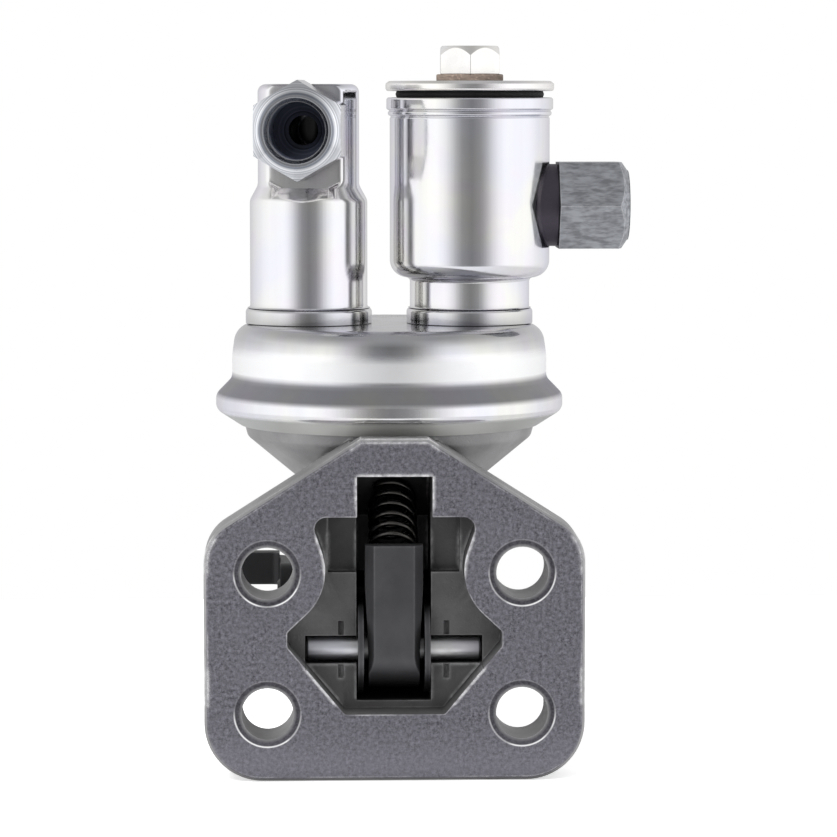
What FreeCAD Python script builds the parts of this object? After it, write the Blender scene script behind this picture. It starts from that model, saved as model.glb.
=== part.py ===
import FreeCAD, Part
import math
import os
import re
import Sketcher
from FreeCAD import Placement, Rotation, Vector

# Mechanical diaphragm fuel lift pump, in millimetres.
# The origin is the centre of the four bolt holes on the mounting face. X points right
# along the flange, Y points from the engine into the pump, and Z points up.

SIZES = [
    # flange, with heights counted from the centre of the bolt pattern
    ("flange_drop", 29.4),
    ("flange_top_drop", 4.1),
    ("flange_thickness", 14.0),
    ("flange_top_width", 14.4),
    ("flange_shoulder_rise", 22.4),
    ("flange_corner_radius", 12.4),
    ("flange_shoulder_radius", 9.7),
    ("flange_edge_chamfer", 0.8),
    ("bolt_spacing_across", 54.0),
    ("bolt_edge_distance", 13.4),
    ("bolt_spacing_up", 30.0),
    ("bolt_hole_diameter", 11.0),
    ("bolt_mouth_width", 1.5),
    ("bolt_mouth_depth", 0.3),
    ("bolt_boss_radius", 12.6),
    # window in the flange
    ("slot_width", 16.0),
    ("slot_top_wall", 8.0),
    ("slot_drop", 13.6),
    ("window_rise", 26.9),
    ("window_top_inset", 9.0),
    ("window_tip_inset", 4.2),
    ("window_waist_inset", 14.3),
    ("window_waist_rise", 11.85),
    ("window_tip_rise", 2.4),
    ("window_tip_drop", 0.7),
    ("window_foot_width", 21.2),
    ("window_foot_drop", 15.2),
    ("window_corner_radius", 2.5),
    ("window_point_radius", 1.0),
    ("ear_depth", 9.0),
    ("ear_rise", 14.1),
    ("pocket_inset", 12.9),
    ("pocket_depth", 11.5),
    # pivot pin, staked into grooves in the two ears
    ("pin_diameter", 6.0),
    ("pin_end_wall", 4.0),
    ("pin_drop", 2.6),
    ("pin_depth", 12.5),
    ("pin_end_play", 0.4),
    ("pin_end_chamfer", 0.5),
    ("pin_boss_radius", 8.6),
    ("stake_width", 0.9),
    ("stake_length", 3.0),
    ("stake_spacing", 22.6),
    ("stake_gap", 0.2),
    # neck, barrel and cup behind the flange
    ("pump_axis_depth", 44.0),
    ("neck_width", 34.0),
    ("neck_top_drop", 8.1),
    ("neck_drop", 18.6),
    ("neck_corner_radius", 6.0),
    ("casting_round", 2.0),
    ("barrel_radius", 19.5),
    ("barrel_drop", 21.0),
    ("barrel_corner_radius", 6.0),
    ("cone_foot_drop", 17.2),
    ("cone_top_radius", 31.5),
    ("cone_top_drop", 7.2),
    ("cup_wall", 3.5),
    ("rim_rise", 47.6),
    ("rim_radius", 36.5),
    ("rim_inner_radius", 29.4),
    ("rim_rounding", 1.0),
    ("chamber_floor_drop", 13.6),
    ("chamber_floor_radius", 17.5),
    ("cavity_roof_rise", 12.0),
    ("cavity_reach", 9.0),
    ("well_drop", 16.6),
    ("well_margin", 4.0),
    # pressed shell, rolled round the rim
    ("shell_wall", 1.5),
    ("dome_height", 17.7),
    ("dome_radius", 34.9),
    ("dome_taper", 1.0),
    ("dome_edge_radius", 4.2),
    ("bead_radius", 38.5),
    ("bead_top_height", 1.0),
    ("bead_bottom_depth", 2.2),
    ("bead_cone_height", 4.7),
    ("bead_bend_radius", 2.2),
    ("bead_clearance", 0.6),
    ("lip_radius", 32.6),
    ("lip_depth", 5.0),
    ("lip_clearance", 0.5),
    ("lip_slant_ratio", 1.2),
    ("bead_low_ratio", 0.6),
    ("bead_top_ratio", 0.4),
    # towers on the dome
    ("tower_spacing", 35.7),
    ("collar_radius", 14.0),
    ("collar_height", 3.5),
    ("collar_edge_radius", 0.9),
    ("spigot_radius", 11.9),
    ("spigot_length", 2.3),
    ("tube_wall", 1.3),
    ("tube_corner_radius", 1.0),
    ("outlet_lower_radius", 13.0),
    ("outlet_upper_radius", 11.2),
    ("outlet_shoulder_height", 27.3),
    ("outlet_shoulder_length", 3.3),
    ("outlet_foot_radius", 0.6),
    ("outlet_bend_radius", 2.4),
    ("outlet_inner_bend", 1.5),
    ("outlet_height", 52.8),
    ("outlet_crown_radius", 1.8),
    ("outlet_port_height", 42.7),
    ("outlet_port_turn", 7.0),
    ("port_pad_depth", 7.7),
    ("port_pad_radius", 15.2),
    ("port_pad_wall_top", 9.1),
    ("port_pad_wall_inset", 0.1),
    ("port_pad_wall_rise", 1.2),
    ("can_neck_radius", 13.25),
    ("can_neck_height", 10.2),
    ("can_neck_foot_radius", 0.4),
    ("can_neck_top_radius", 0.8),
    ("can_radius", 17.7),
    ("can_height", 39.7),
    ("can_foot_radius", 3.8),
    ("can_floor", 1.6),
    ("can_band_radius", 18.1),
    ("can_band_height", 1.3),
    ("can_rim_radius", 18.45),
    ("can_rim_height", 2.9),
    ("can_rim_edge_radius", 0.5),
    ("can_groove", 0.35),
    ("can_mouth_radius", 14.6),
    ("inlet_port_height", 26.1),
    ("floor_hole_diameter", 3.6),
    ("floor_hole_ring", 8.6),
    # hexagon fittings
    ("fitting_flats", 19.0),
    ("fitting_length", 15.6),
    ("fitting_chamfer", 2.0),
    ("fitting_shank_radius", 9.4),
    ("fitting_shank_length", 1.8),
    ("hexagon_chamfer_slope", 1.45),
    ("thread_diameter", 12.4),
    ("thread_depth", 11.5),
    ("thread_lead_in", 0.9),
    ("passage_diameter", 6.5),
    ("port_spigot_diameter", 9.0),
    # cover on the can
    ("gasket_radius", 16.45),
    ("gasket_thickness", 1.4),
    ("gasket_overhang", 1.0),
    ("cover_radius", 18.65),
    ("cover_thickness", 2.2),
    ("cover_edge_radius", 0.5),
    ("washer_radius", 7.8),
    ("washer_thickness", 1.5),
    ("bolt_diameter", 8.0),
    ("bolt_flats", 13.0),
    ("bolt_head_height", 6.2),
    ("bolt_length", 20.0),
    ("bolt_angle", 88.5),
    ("bolt_head_chamfer", 0.3),
    ("bolt_clearance", 0.3),
    ("post_radius", 6.0),
    ("post_head_room", 1.0),
    ("strainer_radius", 11.6),
    ("strainer_wall", 0.6),
    ("strainer_rim_height", 2.0),
    # valves under the towers
    ("diaphragm_thickness", 1.0),
    ("valve_rim_radius", 35.0),
    ("valve_rim_thickness", 2.0),
    ("valve_skirt_radius", 31.4),
    ("valve_skirt_wall", 2.0),
    ("valve_plate_height", 8.1),
    ("valve_plate_thickness", 2.5),
    ("valve_divider", 2.5),
    ("divider_end_gap", 2.4),
    ("valve_cage_radius", 10.0),
    ("valve_cage_height", 8.0),
    ("valve_cage_wall", 1.6),
    ("valve_seat_radius", 4.5),
    ("valve_vent_radius", 0.8),
    ("valve_hole_diameter", 3.0),
    ("valve_hole_ring", 4.6),
    ("valve_disc_radius", 7.0),
    ("valve_disc_thickness", 1.2),
    ("valve_spring_radius", 2.4),
    ("valve_spring_wire", 0.5),
    ("valve_spring_turns", 3.0),
    # diaphragm, its plates and the pull rod
    ("diaphragm_radius", 36.2),
    ("diaphragm_rise", 1.2),
    ("diaphragm_roll_radius", 25.0),
    ("diaphragm_roll_drop", 1.2),
    ("diaphragm_roll_bend", 1.5),
    ("diaphragm_edge_bend", 1.0),
    ("diaphragm_clamp_gap", 0.6),
    ("plate_radius", 19.5),
    ("upper_plate_thickness", 1.2),
    ("lower_plate_thickness", 1.5),
    ("plate_bend_radius", 1.0),
    ("plate_inset", 1.0),
    ("plate_bend_inset", 2.5),
    ("plate_lip_rise", 0.8),
    ("rod_diameter", 5.0),
    ("rod_shoulder_radius", 4.2),
    ("rod_shoulder_height", 1.5),
    ("rod_end_diameter", 4.0),
    ("rod_button_radius", 5.2),
    ("rod_button_height", 2.4),
    ("rod_button_rounding", 0.8),
    ("rod_tip_reach", 0.6),
    ("rod_nut_flats", 7.0),
    ("rod_nut_height", 2.6),
    ("diaphragm_spring_radius", 14.6),
    ("diaphragm_spring_wire", 2.0),
    ("diaphragm_spring_turns", 3.0),
    ("spring_seat_radius", 16.6),
    ("spring_seat_thickness", 1.2),
    ("seat_dish_rise", 0.8),
    ("seat_dish_inset", 2.2),
    ("seat_dish_step", 0.6),
    ("seal_radius", 6.5),
    ("seal_height", 5.5),
    # rocker arm, link and return spring
    ("rocker_width", 12.4),
    ("rocker_hub_width", 11.0),
    ("rocker_face_depth", 4.0),
    ("rocker_top_drop", 12.9),
    ("rocker_hub_radius", 8.4),
    ("rocker_bevel", 1.9),
    ("rocker_top_radius", 1.6),
    ("rocker_bend_radius", 3.0),
    ("rocker_corner_radius", 0.6),
    ("rocker_toe_gap", 3.5),
    ("rocker_toe_height", 4.2),
    ("rocker_toe_radius", 1.2),
    ("rocker_toe_step", 1.0),
    ("link_cheek", 1.2),
    ("link_cheek_radius", 9.7),
    ("link_side_play", 0.3),
    ("link_web_reach", 12.4),
    ("link_web_length", 9.0),
    ("link_top_rise", 1.5),
    ("link_nose_radius", 3.5),
    ("link_edge_radius", 1.0),
    ("link_step_length", 3.0),
    ("link_fork_end_gap", 0.8),
    ("link_fork_slot", 5.8),
    ("link_fork_width", 12.2),
    ("rocker_spring_radius", 4.7),
    ("rocker_spring_wire", 1.3),
    ("rocker_spring_turns", 3.4),
    ("rocker_spring_length", 17.4),
    ("rocker_spring_rise", 41.5),
    ("rocker_seat_depth", 10.5),
    ("rocker_seat_drop", 17.5),
    ("rocker_seat_reach", 6.2),
    ("rocker_seat_inset", 0.6),
    ("rocker_roof_inset", 0.4),
    # priming lever on the left side
    ("primer_axis_offset", 8.5),
    ("primer_rise", 6.2),
    ("primer_shaft_diameter", 6.0),
    ("primer_flat_depth", 1.2),
    ("primer_boss_radius", 7.0),
    ("primer_boss_reach", 17.6),
    ("primer_face_margin", 0.4),
    ("primer_hub_reach", 21.4),
    ("primer_hub_radius", 6.5),
    ("primer_strip_width", 7.4),
    ("primer_strip_thickness", 3.0),
    ("primer_reach", 30.5),
    ("primer_tab_length", 14.0),
    ("primer_tab_step", 1.0),
    ("primer_tab_step_reach", 24.6),
    ("primer_shaft_chamfer", 0.6),
    ("primer_shaft_overreach", 4.5),
    ("primer_bore_end_play", 0.5),
    ("primer_flat_inset", 0.4),
    ("primer_tilt", 3.5),
    ("primer_bend_radius", 2.0),
    ("primer_spring_wire", 1.1),
    ("primer_spring_turns", 2.5),
    ("primer_spring_clearance", 1.2),
    ("cut_margin", 1.0),
    ("running_gap", 0.05),
    ("seat_gap", 0.25),
]
NAMES = [name for name, value in SIZES]
ON_FACE = 0.01  # edges nearer to the mounting face than this lie on it

# Heights and places that several pieces share, as expressions of the sizes
FLANGE_TOP = "(rim_rise - flange_top_drop)"
SLOT_TOP = "(rim_rise - flange_top_drop - slot_top_wall)"
ROCKER_TOP = "(rim_rise - flange_top_drop - slot_top_wall - rocker_top_drop)"
ROCKER_SEAT = "(rim_rise - flange_top_drop - slot_top_wall - rocker_seat_drop)"
NECK_TOP = "(rim_rise - neck_top_drop)"
CONE_FOOT = "(rim_rise - cone_foot_drop)"
CONE_TOP = "(rim_rise - cone_top_drop)"
CHAMBER_FLOOR = "(rim_rise - chamber_floor_drop)"
DOME_TOP = "(rim_rise + dome_height)"
DOME_UNDER = "(rim_rise + dome_height - shell_wall)"
CLAMP_TOP = "(rim_rise + diaphragm_thickness)"
PLATE_UNDER = "(rim_rise + diaphragm_thickness + valve_plate_height - valve_rim_thickness)"
PLATE_TOP = "(rim_rise + diaphragm_thickness + valve_plate_height - valve_rim_thickness" \
            " + valve_plate_thickness)"
OUTLET_X = "(-tower_spacing / 2)"
INLET_X = "(tower_spacing / 2)"
CAN_FOOT = "(rim_rise + dome_height + can_neck_height)"
CAN_TOP = "(rim_rise + dome_height + can_neck_height + can_height)"
COVER_UNDER = "(rim_rise + dome_height + can_neck_height + can_height + gasket_thickness)"
COVER_TOP = "(rim_rise + dome_height + can_neck_height + can_height + gasket_thickness" \
            " + cover_thickness)"
CENTRE_UNDER = "(rim_rise + diaphragm_rise)"
CENTRE_TOP = "(rim_rise + diaphragm_rise + diaphragm_thickness)"
LOWER_PLATE_UNDER = "(rim_rise + diaphragm_rise - lower_plate_thickness)"
BUTTON_TOP = "(-pin_drop - link_nose_radius - seat_gap)"
SEAL_UNDER = f"({CHAMBER_FLOOR} - seal_height)"
NECK_SIDE = "(neck_width / 2)"
BOLT_SIDE = "(bolt_spacing_across / 2)"
FLANGE_SIDE = "(bolt_spacing_across / 2 + bolt_edge_distance)"
WINDOW_TIP = "(bolt_spacing_across / 2 - window_tip_inset)"
PIN_HALF = "(bolt_spacing_across / 2 - window_tip_inset - pin_end_wall)"
SLOT_SIDE = "(slot_width / 2)"
LIP_UNDER = "(rim_rise - lip_depth)"
LIP_TOP = "(rim_rise - lip_depth + lip_slant_ratio * shell_wall)"
BEAD_LOW = "(rim_rise + diaphragm_thickness - bead_bottom_depth)"
LIP_SLOPE = f"(({BEAD_LOW} + bead_low_ratio * shell_wall - {LIP_TOP})" \
            " / (bead_radius - shell_wall - lip_radius))"
PRIMER_DEPTH = "(pump_axis_depth - primer_axis_offset)"
LINK_SIDE = "(rocker_width / 2 + link_side_play + link_cheek)"

doc = FreeCAD.newDocument("FuelPump")
sheet = doc.addObject("Spreadsheet::Sheet", "Sizes")
for row, (name, value) in enumerate(SIZES, start=1):
    sheet.set(f"A{row}", name)
    sheet.set(f"B{row}", str(value))
    sheet.setAlias(f"B{row}", name)
doc.recompute()


def bound(text):
    """Write the sheet's name before each size that an expression uses."""
    return re.sub(r"[a-z_]+", lambda word: "Sizes." * (word.group() in NAMES) + word.group(), text)


def size(text):
    """Give the value of an expression of the sizes."""
    return float(sheet.evalExpression(bound(text)))


def set_place(piece, x="0", y="0", z="0", turn=Rotation()):
    """Place a piece at bound coordinates, turned as given."""
    piece.Placement = Placement(Vector(size(x), size(y), size(z)), turn)
    for axis, text in zip("xyz", (x, y, z)):
        piece.setExpression(f"Placement.Base.{axis}", bound(text))
    return piece


# Sketches: a loop is a list of corners (across, up) or (across, up, rounding radius)

def new_sketch(body, name, plane, offset="0"):
    """Attach an empty sketch to one of the body's own planes, moved along its normal."""
    sketch = body.newObject("Sketcher::SketchObject", name)
    face = next(f for f in body.Origin.OriginFeatures if f.Role == plane + "_Plane")
    sketch.AttachmentSupport = [(face, "")]
    sketch.MapMode = "FlatFace"
    sketch.AttachmentOffset = Placement(Vector(0, 0, size(offset)), Rotation())
    sketch.setExpression("AttachmentOffset.Base.z", bound(offset))
    return sketch


def bind(sketch, kind, where, text):
    """Add one measured constraint whose value is an expression of the sizes."""
    index = sketch.addConstraint(Sketcher.Constraint(kind, *where, size(text)))
    sketch.setExpression(f"Constraints[{index}]", bound(text))


def rounded_corner(point, before, after, radius):
    """Give the two tangent points and the arc that round one corner."""
    back = (before - point).normalize()
    ahead = (after - point).normalize()
    half = back.getAngle(ahead) / 2
    reach = radius / math.tan(half)
    centre = point + (back + ahead).normalize() * (radius / math.sin(half))
    enter, leave = point + back * reach, point + ahead * reach
    anticlockwise = (enter - centre).cross(leave - centre).z > 0
    first, last = (enter, leave) if anticlockwise else (leave, enter)
    start = math.atan2(first.y - centre.y, first.x - centre.x)
    end = math.atan2(last.y - centre.y, last.x - centre.x)
    end += 2 * math.pi * (end < start)
    arc = Part.ArcOfCircle(Part.Circle(centre, Vector(0, 0, 1), radius), start, end)
    return enter, leave, arc, anticlockwise


def add_loop(sketch, corners):
    """Draw a closed outline of lines and rounded corners, fully bound to the sizes."""
    points = [Vector(size(corner[0]), size(corner[1]), 0) for corner in corners]
    count = len(points)
    entering, leaving, rounds = list(points), list(points), {}
    for i, corner in enumerate(corners):
        if len(corner) == 3:
            rounds[i] = rounded_corner(points[i], points[i - 1], points[(i + 1) % count], size(corner[2]))
            entering[i], leaving[i] = rounds[i][:2]
    first = sketch.GeometryCount
    sketch.addGeometry([Part.LineSegment(leaving[i], entering[(i + 1) % count]) for i in range(count)], False)
    for i, corner in enumerate(corners):
        line_in, line_out = first + (i - 1) % count, first + i
        if i in rounds:
            arc = sketch.addGeometry(rounds[i][2], False)
            tip = sketch.addGeometry(Part.Point(points[i]), True)
            start, end = (1, 2) if rounds[i][3] else (2, 1)
            sketch.addConstraint([
                Sketcher.Constraint("Tangent", line_in, 2, arc, start),
                Sketcher.Constraint("Tangent", line_out, 1, arc, end),
                Sketcher.Constraint("PointOnObject", tip, 1, line_in),
                Sketcher.Constraint("PointOnObject", tip, 1, line_out)])
            bind(sketch, "Radius", (arc,), corner[2])
        else:
            tip = line_out
            sketch.addConstraint(Sketcher.Constraint("Coincident", line_in, 2, line_out, 1))
        bind(sketch, "DistanceX", (-1, 1, tip, 1), corner[0])
        bind(sketch, "DistanceY", (-1, 1, tip, 1), corner[1])


def add_circle(sketch, across, up, radius):
    """Draw a circle whose centre and radius are bound to the sizes."""
    centre = Vector(size(across), size(up), 0)
    ring = sketch.addGeometry(Part.Circle(centre, Vector(0, 0, 1), size(radius)), False)
    bind(sketch, "DistanceX", (-1, 1, ring, 3), across)
    bind(sketch, "DistanceY", (-1, 1, ring, 3), up)
    bind(sketch, "Radius", (ring,), radius)


def rectangle(left, bottom, right, top):
    """Give the corners of an upright rectangle."""
    return [(left, bottom), (right, bottom), (right, top), (left, top)]


# Bodies and their features

def new_body(label):
    """Start an empty body."""
    body = doc.addObject("PartDesign::Body", label)
    body.Label = label
    return body


def check_change(feature, grows):
    """Stop when a feature fails, or adds or removes nothing."""
    doc.recompute()
    before = feature.BaseFeature.Shape.Volume if feature.BaseFeature else 0
    change = feature.Shape.Volume - before
    if not feature.isValid() or (change <= 0 if grows else change >= 0):
        raise RuntimeError(f"{feature.Label} changes nothing or failed")


def add_feature(body, kind, name, sketch, **settings):
    """Make a sketched feature, with bound lengths, and check what it does."""
    feature = body.newObject("PartDesign::" + kind, name)
    feature.Profile = sketch
    if kind in ("Revolution", "Groove"):
        feature.ReferenceAxis = (sketch, ["V_Axis"])
        feature.Angle = 360
    for key, value in settings.items():
        if isinstance(value, str) and key.startswith("Length"):
            feature.setExpression(key, bound(value))
        else:
            setattr(feature, key, value)
    sketch.Visibility = False
    check_change(feature, kind in ("Pad", "Revolution"))
    return feature


def pad(body, name, sketch, length, **settings):
    return add_feature(body, "Pad", name, sketch, Length=length, **settings)


def pocket(body, name, sketch, length, **settings):
    return add_feature(body, "Pocket", name, sketch, Length=length, **settings)


def turned(label, profile, x="0", y="0", z="0", turn=Rotation()):
    """Make a body by turning one closed profile (radius, height) about its own axis."""
    body = new_body(label)
    sketch = new_sketch(body, label + "_profile", "XZ")
    add_loop(sketch, profile)
    add_feature(body, "Revolution", label + "_turning", sketch)
    return set_place(body, x, y, z, turn)


def drill(body, name, holes, length, plane="XY", offset="0", **settings):
    """Cut round holes, given as (across, up, radius), from one plane."""
    sketch = new_sketch(body, name + "_circles", plane, offset)
    for hole in holes:
        add_circle(sketch, *hole)
    return pocket(body, name, sketch, length, **settings)


def chamfer_edges(body, name, distance, chosen, other_distance=None):
    """Chamfer the edges of the body that a test picks, evenly or with two distances."""
    base = body.Tip
    edges = [f"Edge{i}" for i, edge in enumerate(base.Shape.Edges, start=1) if chosen(edge)]
    feature = body.newObject("PartDesign::Chamfer", name)
    feature.Base = (base, edges)
    feature.setExpression("Size", bound(distance))
    if other_distance:
        feature.ChamferType = "Two distances"
        feature.setExpression("Size2", bound(other_distance))
    check_change(feature, grows=False)


# Part primitives

def primitive(kind, name, **sizes):
    """Make a Part primitive whose sizes are bound."""
    piece = doc.addObject("Part::" + kind, name)
    for key, text in sizes.items():
        piece.setExpression(key, bound(text))
    return piece


def combine(kind, name, first, second):
    """Cut, fuse or intersect two shapes."""
    result = doc.addObject("Part::" + kind, name)
    result.Base = first
    result.Tool = second
    return result


def coil(label, radius, wire, turns, length):
    """Make a round-wire coil spring that stands on its own Z axis."""
    helix = primitive("Helix", label + "_path", Radius=radius, Height=f"({length} - {wire})",
                      Pitch=f"(({length} - {wire}) / {turns})")
    set_place(helix, z=f"{wire} / 2")
    section = primitive("Circle", label + "_section", Radius=f"{wire} / 2")
    set_place(section, radius, "0", f"{wire} / 2", Rotation(Vector(1, 0, 0), 90))
    spring = doc.addObject("Part::Sweep", label)
    spring.Sections = [section]
    spring.Spine = (helix, [])
    spring.Solid = True
    spring.Frenet = True
    spring.Label = label
    return spring


# Lower housing

def flange_outline():
    half, top = FLANGE_SIDE, "(flange_top_width / 2)"
    corner, shoulder = "flange_corner_radius", "flange_shoulder_radius"
    return [(f"-{half}", "-flange_drop", corner), (half, "-flange_drop", corner),
            (half, "flange_shoulder_rise", shoulder), (top, FLANGE_TOP),
            (f"-{top}", FLANGE_TOP), (f"-{half}", "flange_shoulder_rise", shoulder)]


def cup_profile():
    """Half section of the barrel, cone and rim, as radius and height."""
    return [("0", "-barrel_drop"),
            ("barrel_radius", "-barrel_drop", "barrel_corner_radius"),
            ("barrel_radius", CONE_FOOT),
            ("cone_top_radius", CONE_TOP, "casting_round"),
            ("lip_radius - lip_clearance", LIP_UNDER),
            ("lip_radius", f"{LIP_TOP} + running_gap"),
            ("rim_radius", f"{LIP_TOP} + {LIP_SLOPE} * (rim_radius - lip_radius) + running_gap",
             "rim_rounding"),
            ("rim_radius", "rim_rise"),
            ("0", "rim_rise")]


def chamber_profile():
    """Half section of the spring chamber, the seal's seat and the rod's guide."""
    return [("0", "rim_rise + cut_margin"),
            ("rim_inner_radius", "rim_rise + cut_margin"),
            ("rim_inner_radius", f"{CONE_TOP} + cup_wall / 2", "casting_round"),
            ("chamber_floor_radius", CHAMBER_FLOOR, "casting_round"),
            ("seal_radius", CHAMBER_FLOOR),
            ("seal_radius", SEAL_UNDER),
            ("rod_diameter / 2 + running_gap", SEAL_UNDER),
            ("rod_diameter / 2 + running_gap", "cavity_roof_rise - cut_margin"),
            ("0", "cavity_roof_rise - cut_margin")]


def spring_axis_point(along, aside="0"):
    """Give depth and height of a point along, and square to, the return spring's axis."""
    rise = "(rocker_spring_rise * 1deg)"
    depth = f"rocker_seat_depth + ({along}) * cos({rise}) - ({aside}) * sin({rise})"
    height = f"{ROCKER_SEAT} + ({along}) * sin({rise}) + ({aside}) * cos({rise})"
    return depth, height


def cavity_outline():
    """Side view of the slot through the housing, as depth and height."""
    seat_low = spring_axis_point("rocker_spring_length", "-rocker_seat_reach - cut_margin")
    seat_high = spring_axis_point("rocker_spring_length", "rocker_seat_reach - rocker_roof_inset")
    return [("-cut_margin", SLOT_TOP),
            (seat_high[0], SLOT_TOP),
            seat_high,
            seat_low,
            (seat_low[0], "cavity_roof_rise"),
            ("pump_axis_depth + cavity_reach", "cavity_roof_rise", "casting_round"),
            ("pump_axis_depth + cavity_reach", "-well_drop", "casting_round"),
            ("pump_axis_depth - rod_button_radius - well_margin", "-well_drop", "casting_round"),
            ("pump_axis_depth - rod_button_radius - 2 * well_margin", "-slot_drop"),
            ("-cut_margin", "-slot_drop")]


def window_outline():
    """Front view of the shallow window that the rocker arm stands in."""
    half = [("slot_width / 2", SLOT_TOP),
            ("slot_width / 2", "window_rise"),
            (f"{BOLT_SIDE} - window_top_inset", "window_rise", "window_corner_radius"),
            (f"{BOLT_SIDE} - window_waist_inset", "window_waist_rise", "bolt_boss_radius"),
            (WINDOW_TIP, "window_tip_rise", "window_point_radius"),
            (WINDOW_TIP, "-window_tip_drop", "window_point_radius"),
            ("window_foot_width / 2", "-window_foot_drop", "window_point_radius")]
    mirrored = [(f"-({corner[0]})",) + corner[1:] for corner in reversed(half)]
    return half + mirrored


def bolt_places():
    across, up = BOLT_SIDE, "bolt_spacing_up / 2"
    return [(f"{side}{across}", f"{level}{up}") for side in ("", "-") for level in ("", "-")]


def make_lower_housing():
    """Casting: flange, neck, pin bosses, barrel and cup, with the mechanism's cavity."""
    body = new_body("housing_casting")
    sketch = new_sketch(body, "flange_outline", "XZ")
    add_loop(sketch, flange_outline())
    pad(body, "flange", sketch, "flange_thickness", Reversed=True)
    chamfer_edges(body, "flange_edge", "flange_edge_chamfer",
                  lambda edge: edge.BoundBox.YMax < ON_FACE)

    sketch = new_sketch(body, "neck_outline", "XZ", "-flange_thickness / 2")
    corner = "neck_corner_radius"
    add_loop(sketch, [(f"-{NECK_SIDE}", "-neck_drop", corner), (NECK_SIDE, "-neck_drop", corner),
                      (NECK_SIDE, NECK_TOP, corner), (f"-{NECK_SIDE}", NECK_TOP, corner)])
    pad(body, "neck", sketch, "pump_axis_depth - flange_thickness / 2", Reversed=True)

    sketch = new_sketch(body, "pin_boss_outline", "YZ")
    add_circle(sketch, "pin_depth", "-pin_drop", "pin_boss_radius")
    pad(body, "pin_bosses", sketch, f"2 * {WINDOW_TIP}", Midplane=True)

    sketch = new_sketch(body, "primer_boss_outline", "YZ")
    add_circle(sketch, PRIMER_DEPTH, "primer_rise", "primer_boss_radius")
    pad(body, "primer_boss", sketch, "primer_boss_reach", Reversed=True)

    sketch = new_sketch(body, "bead_relief_profile", "XZ", "-pump_axis_depth")
    add_loop(sketch, rectangle("cone_top_radius - cut_margin", f"{LIP_UNDER} - bead_clearance",
                               "bead_radius + bead_clearance", "rim_rise"))
    add_feature(body, "Groove", "bead_relief", sketch)

    sketch = new_sketch(body, "cup_profile", "XZ", "-pump_axis_depth")
    add_loop(sketch, cup_profile())
    add_feature(body, "Revolution", "cup", sketch)

    sketch = new_sketch(body, "chamber_profile", "XZ", "-pump_axis_depth")
    add_loop(sketch, chamber_profile())
    add_feature(body, "Groove", "chamber", sketch)

    sketch = new_sketch(body, "cavity_outline", "YZ")
    add_loop(sketch, cavity_outline())
    pocket(body, "cavity", sketch, "slot_width", Midplane=True)

    cut_window(body)
    drill(body, "bolt_holes", [place + ("bolt_hole_diameter / 2",) for place in bolt_places()],
          "flange_thickness + cut_margin", "XZ")
    chamfer_edges(body, "bolt_hole_mouths", "bolt_mouth_width", is_bolt_hole_mouth, "bolt_mouth_depth")
    drill(body, "primer_face", [(PRIMER_DEPTH, "primer_rise", "primer_boss_radius + primer_face_margin")],
          "barrel_radius", "YZ", "-primer_boss_reach")
    drill(body, "primer_bore", [(PRIMER_DEPTH, "primer_rise", "primer_shaft_diameter / 2 + running_gap")],
          "primer_boss_reach + slot_width / 2 + primer_shaft_overreach + primer_bore_end_play", "YZ",
          "-primer_boss_reach", Reversed=True)
    return body


def is_bolt_hole_mouth(edge):
    round_edge = isinstance(edge.Curve, Part.Circle) and edge.isClosed()
    return round_edge and edge.BoundBox.YMax < ON_FACE and edge.Curve.Radius < size("bolt_hole_diameter")


def cut_window(body):
    """Cut the window down to the ears, its upper pocket, the pin's grooves and the stakes."""
    sketch = new_sketch(body, "window_outline", "XZ")
    add_loop(sketch, window_outline())
    pocket(body, "window", sketch, "ear_depth")

    side = f"({BOLT_SIDE} - pocket_inset)"
    sketch = new_sketch(body, "pocket_outline", "XZ")
    add_loop(sketch, rectangle(f"-{side}", "ear_rise", side, "window_rise"))
    pocket(body, "upper_pocket", sketch, "pocket_depth")

    radius = "(pin_diameter / 2)"
    sketch = new_sketch(body, "pin_groove_outline", "YZ")
    add_loop(sketch, rectangle("0", f"-pin_drop - {radius}", "pin_depth", f"-pin_drop + {radius}"))
    pocket(body, "pin_groove_mouth", sketch, f"2 * {PIN_HALF} + pin_end_play", Midplane=True)
    sketch = new_sketch(body, "pin_groove_floor", "YZ")
    add_circle(sketch, "pin_depth", "-pin_drop", radius)
    pocket(body, "pin_groove", sketch, f"2 * {PIN_HALF} + pin_end_play", Midplane=True)


def cut_stakes(housing):
    """Cut the four chisel stakes that trap the pin beside its grooves."""
    side, reach = "(stake_spacing / 2)", "(pin_diameter / 2 + stake_length / 2 + stake_gap)"
    marks = []
    for x in (side, f"-{side}"):
        for z in (f"-pin_drop + {reach}", f"-pin_drop - {reach}"):
            mark = primitive("Box", "stake", Length="stake_width", Width="stake_width", Height="stake_length")
            set_place(mark, x, "ear_depth - stake_width / sqrt(2)", f"{z} - stake_length / 2",
                      Rotation(Vector(0, 0, 1), 45))
            marks.append(mark)
    stakes = doc.addObject("Part::MultiFuse", "stakes")
    stakes.Shapes = marks
    return combine("Cut", "lower_housing", housing, stakes)


# Shell, towers and can

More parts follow.
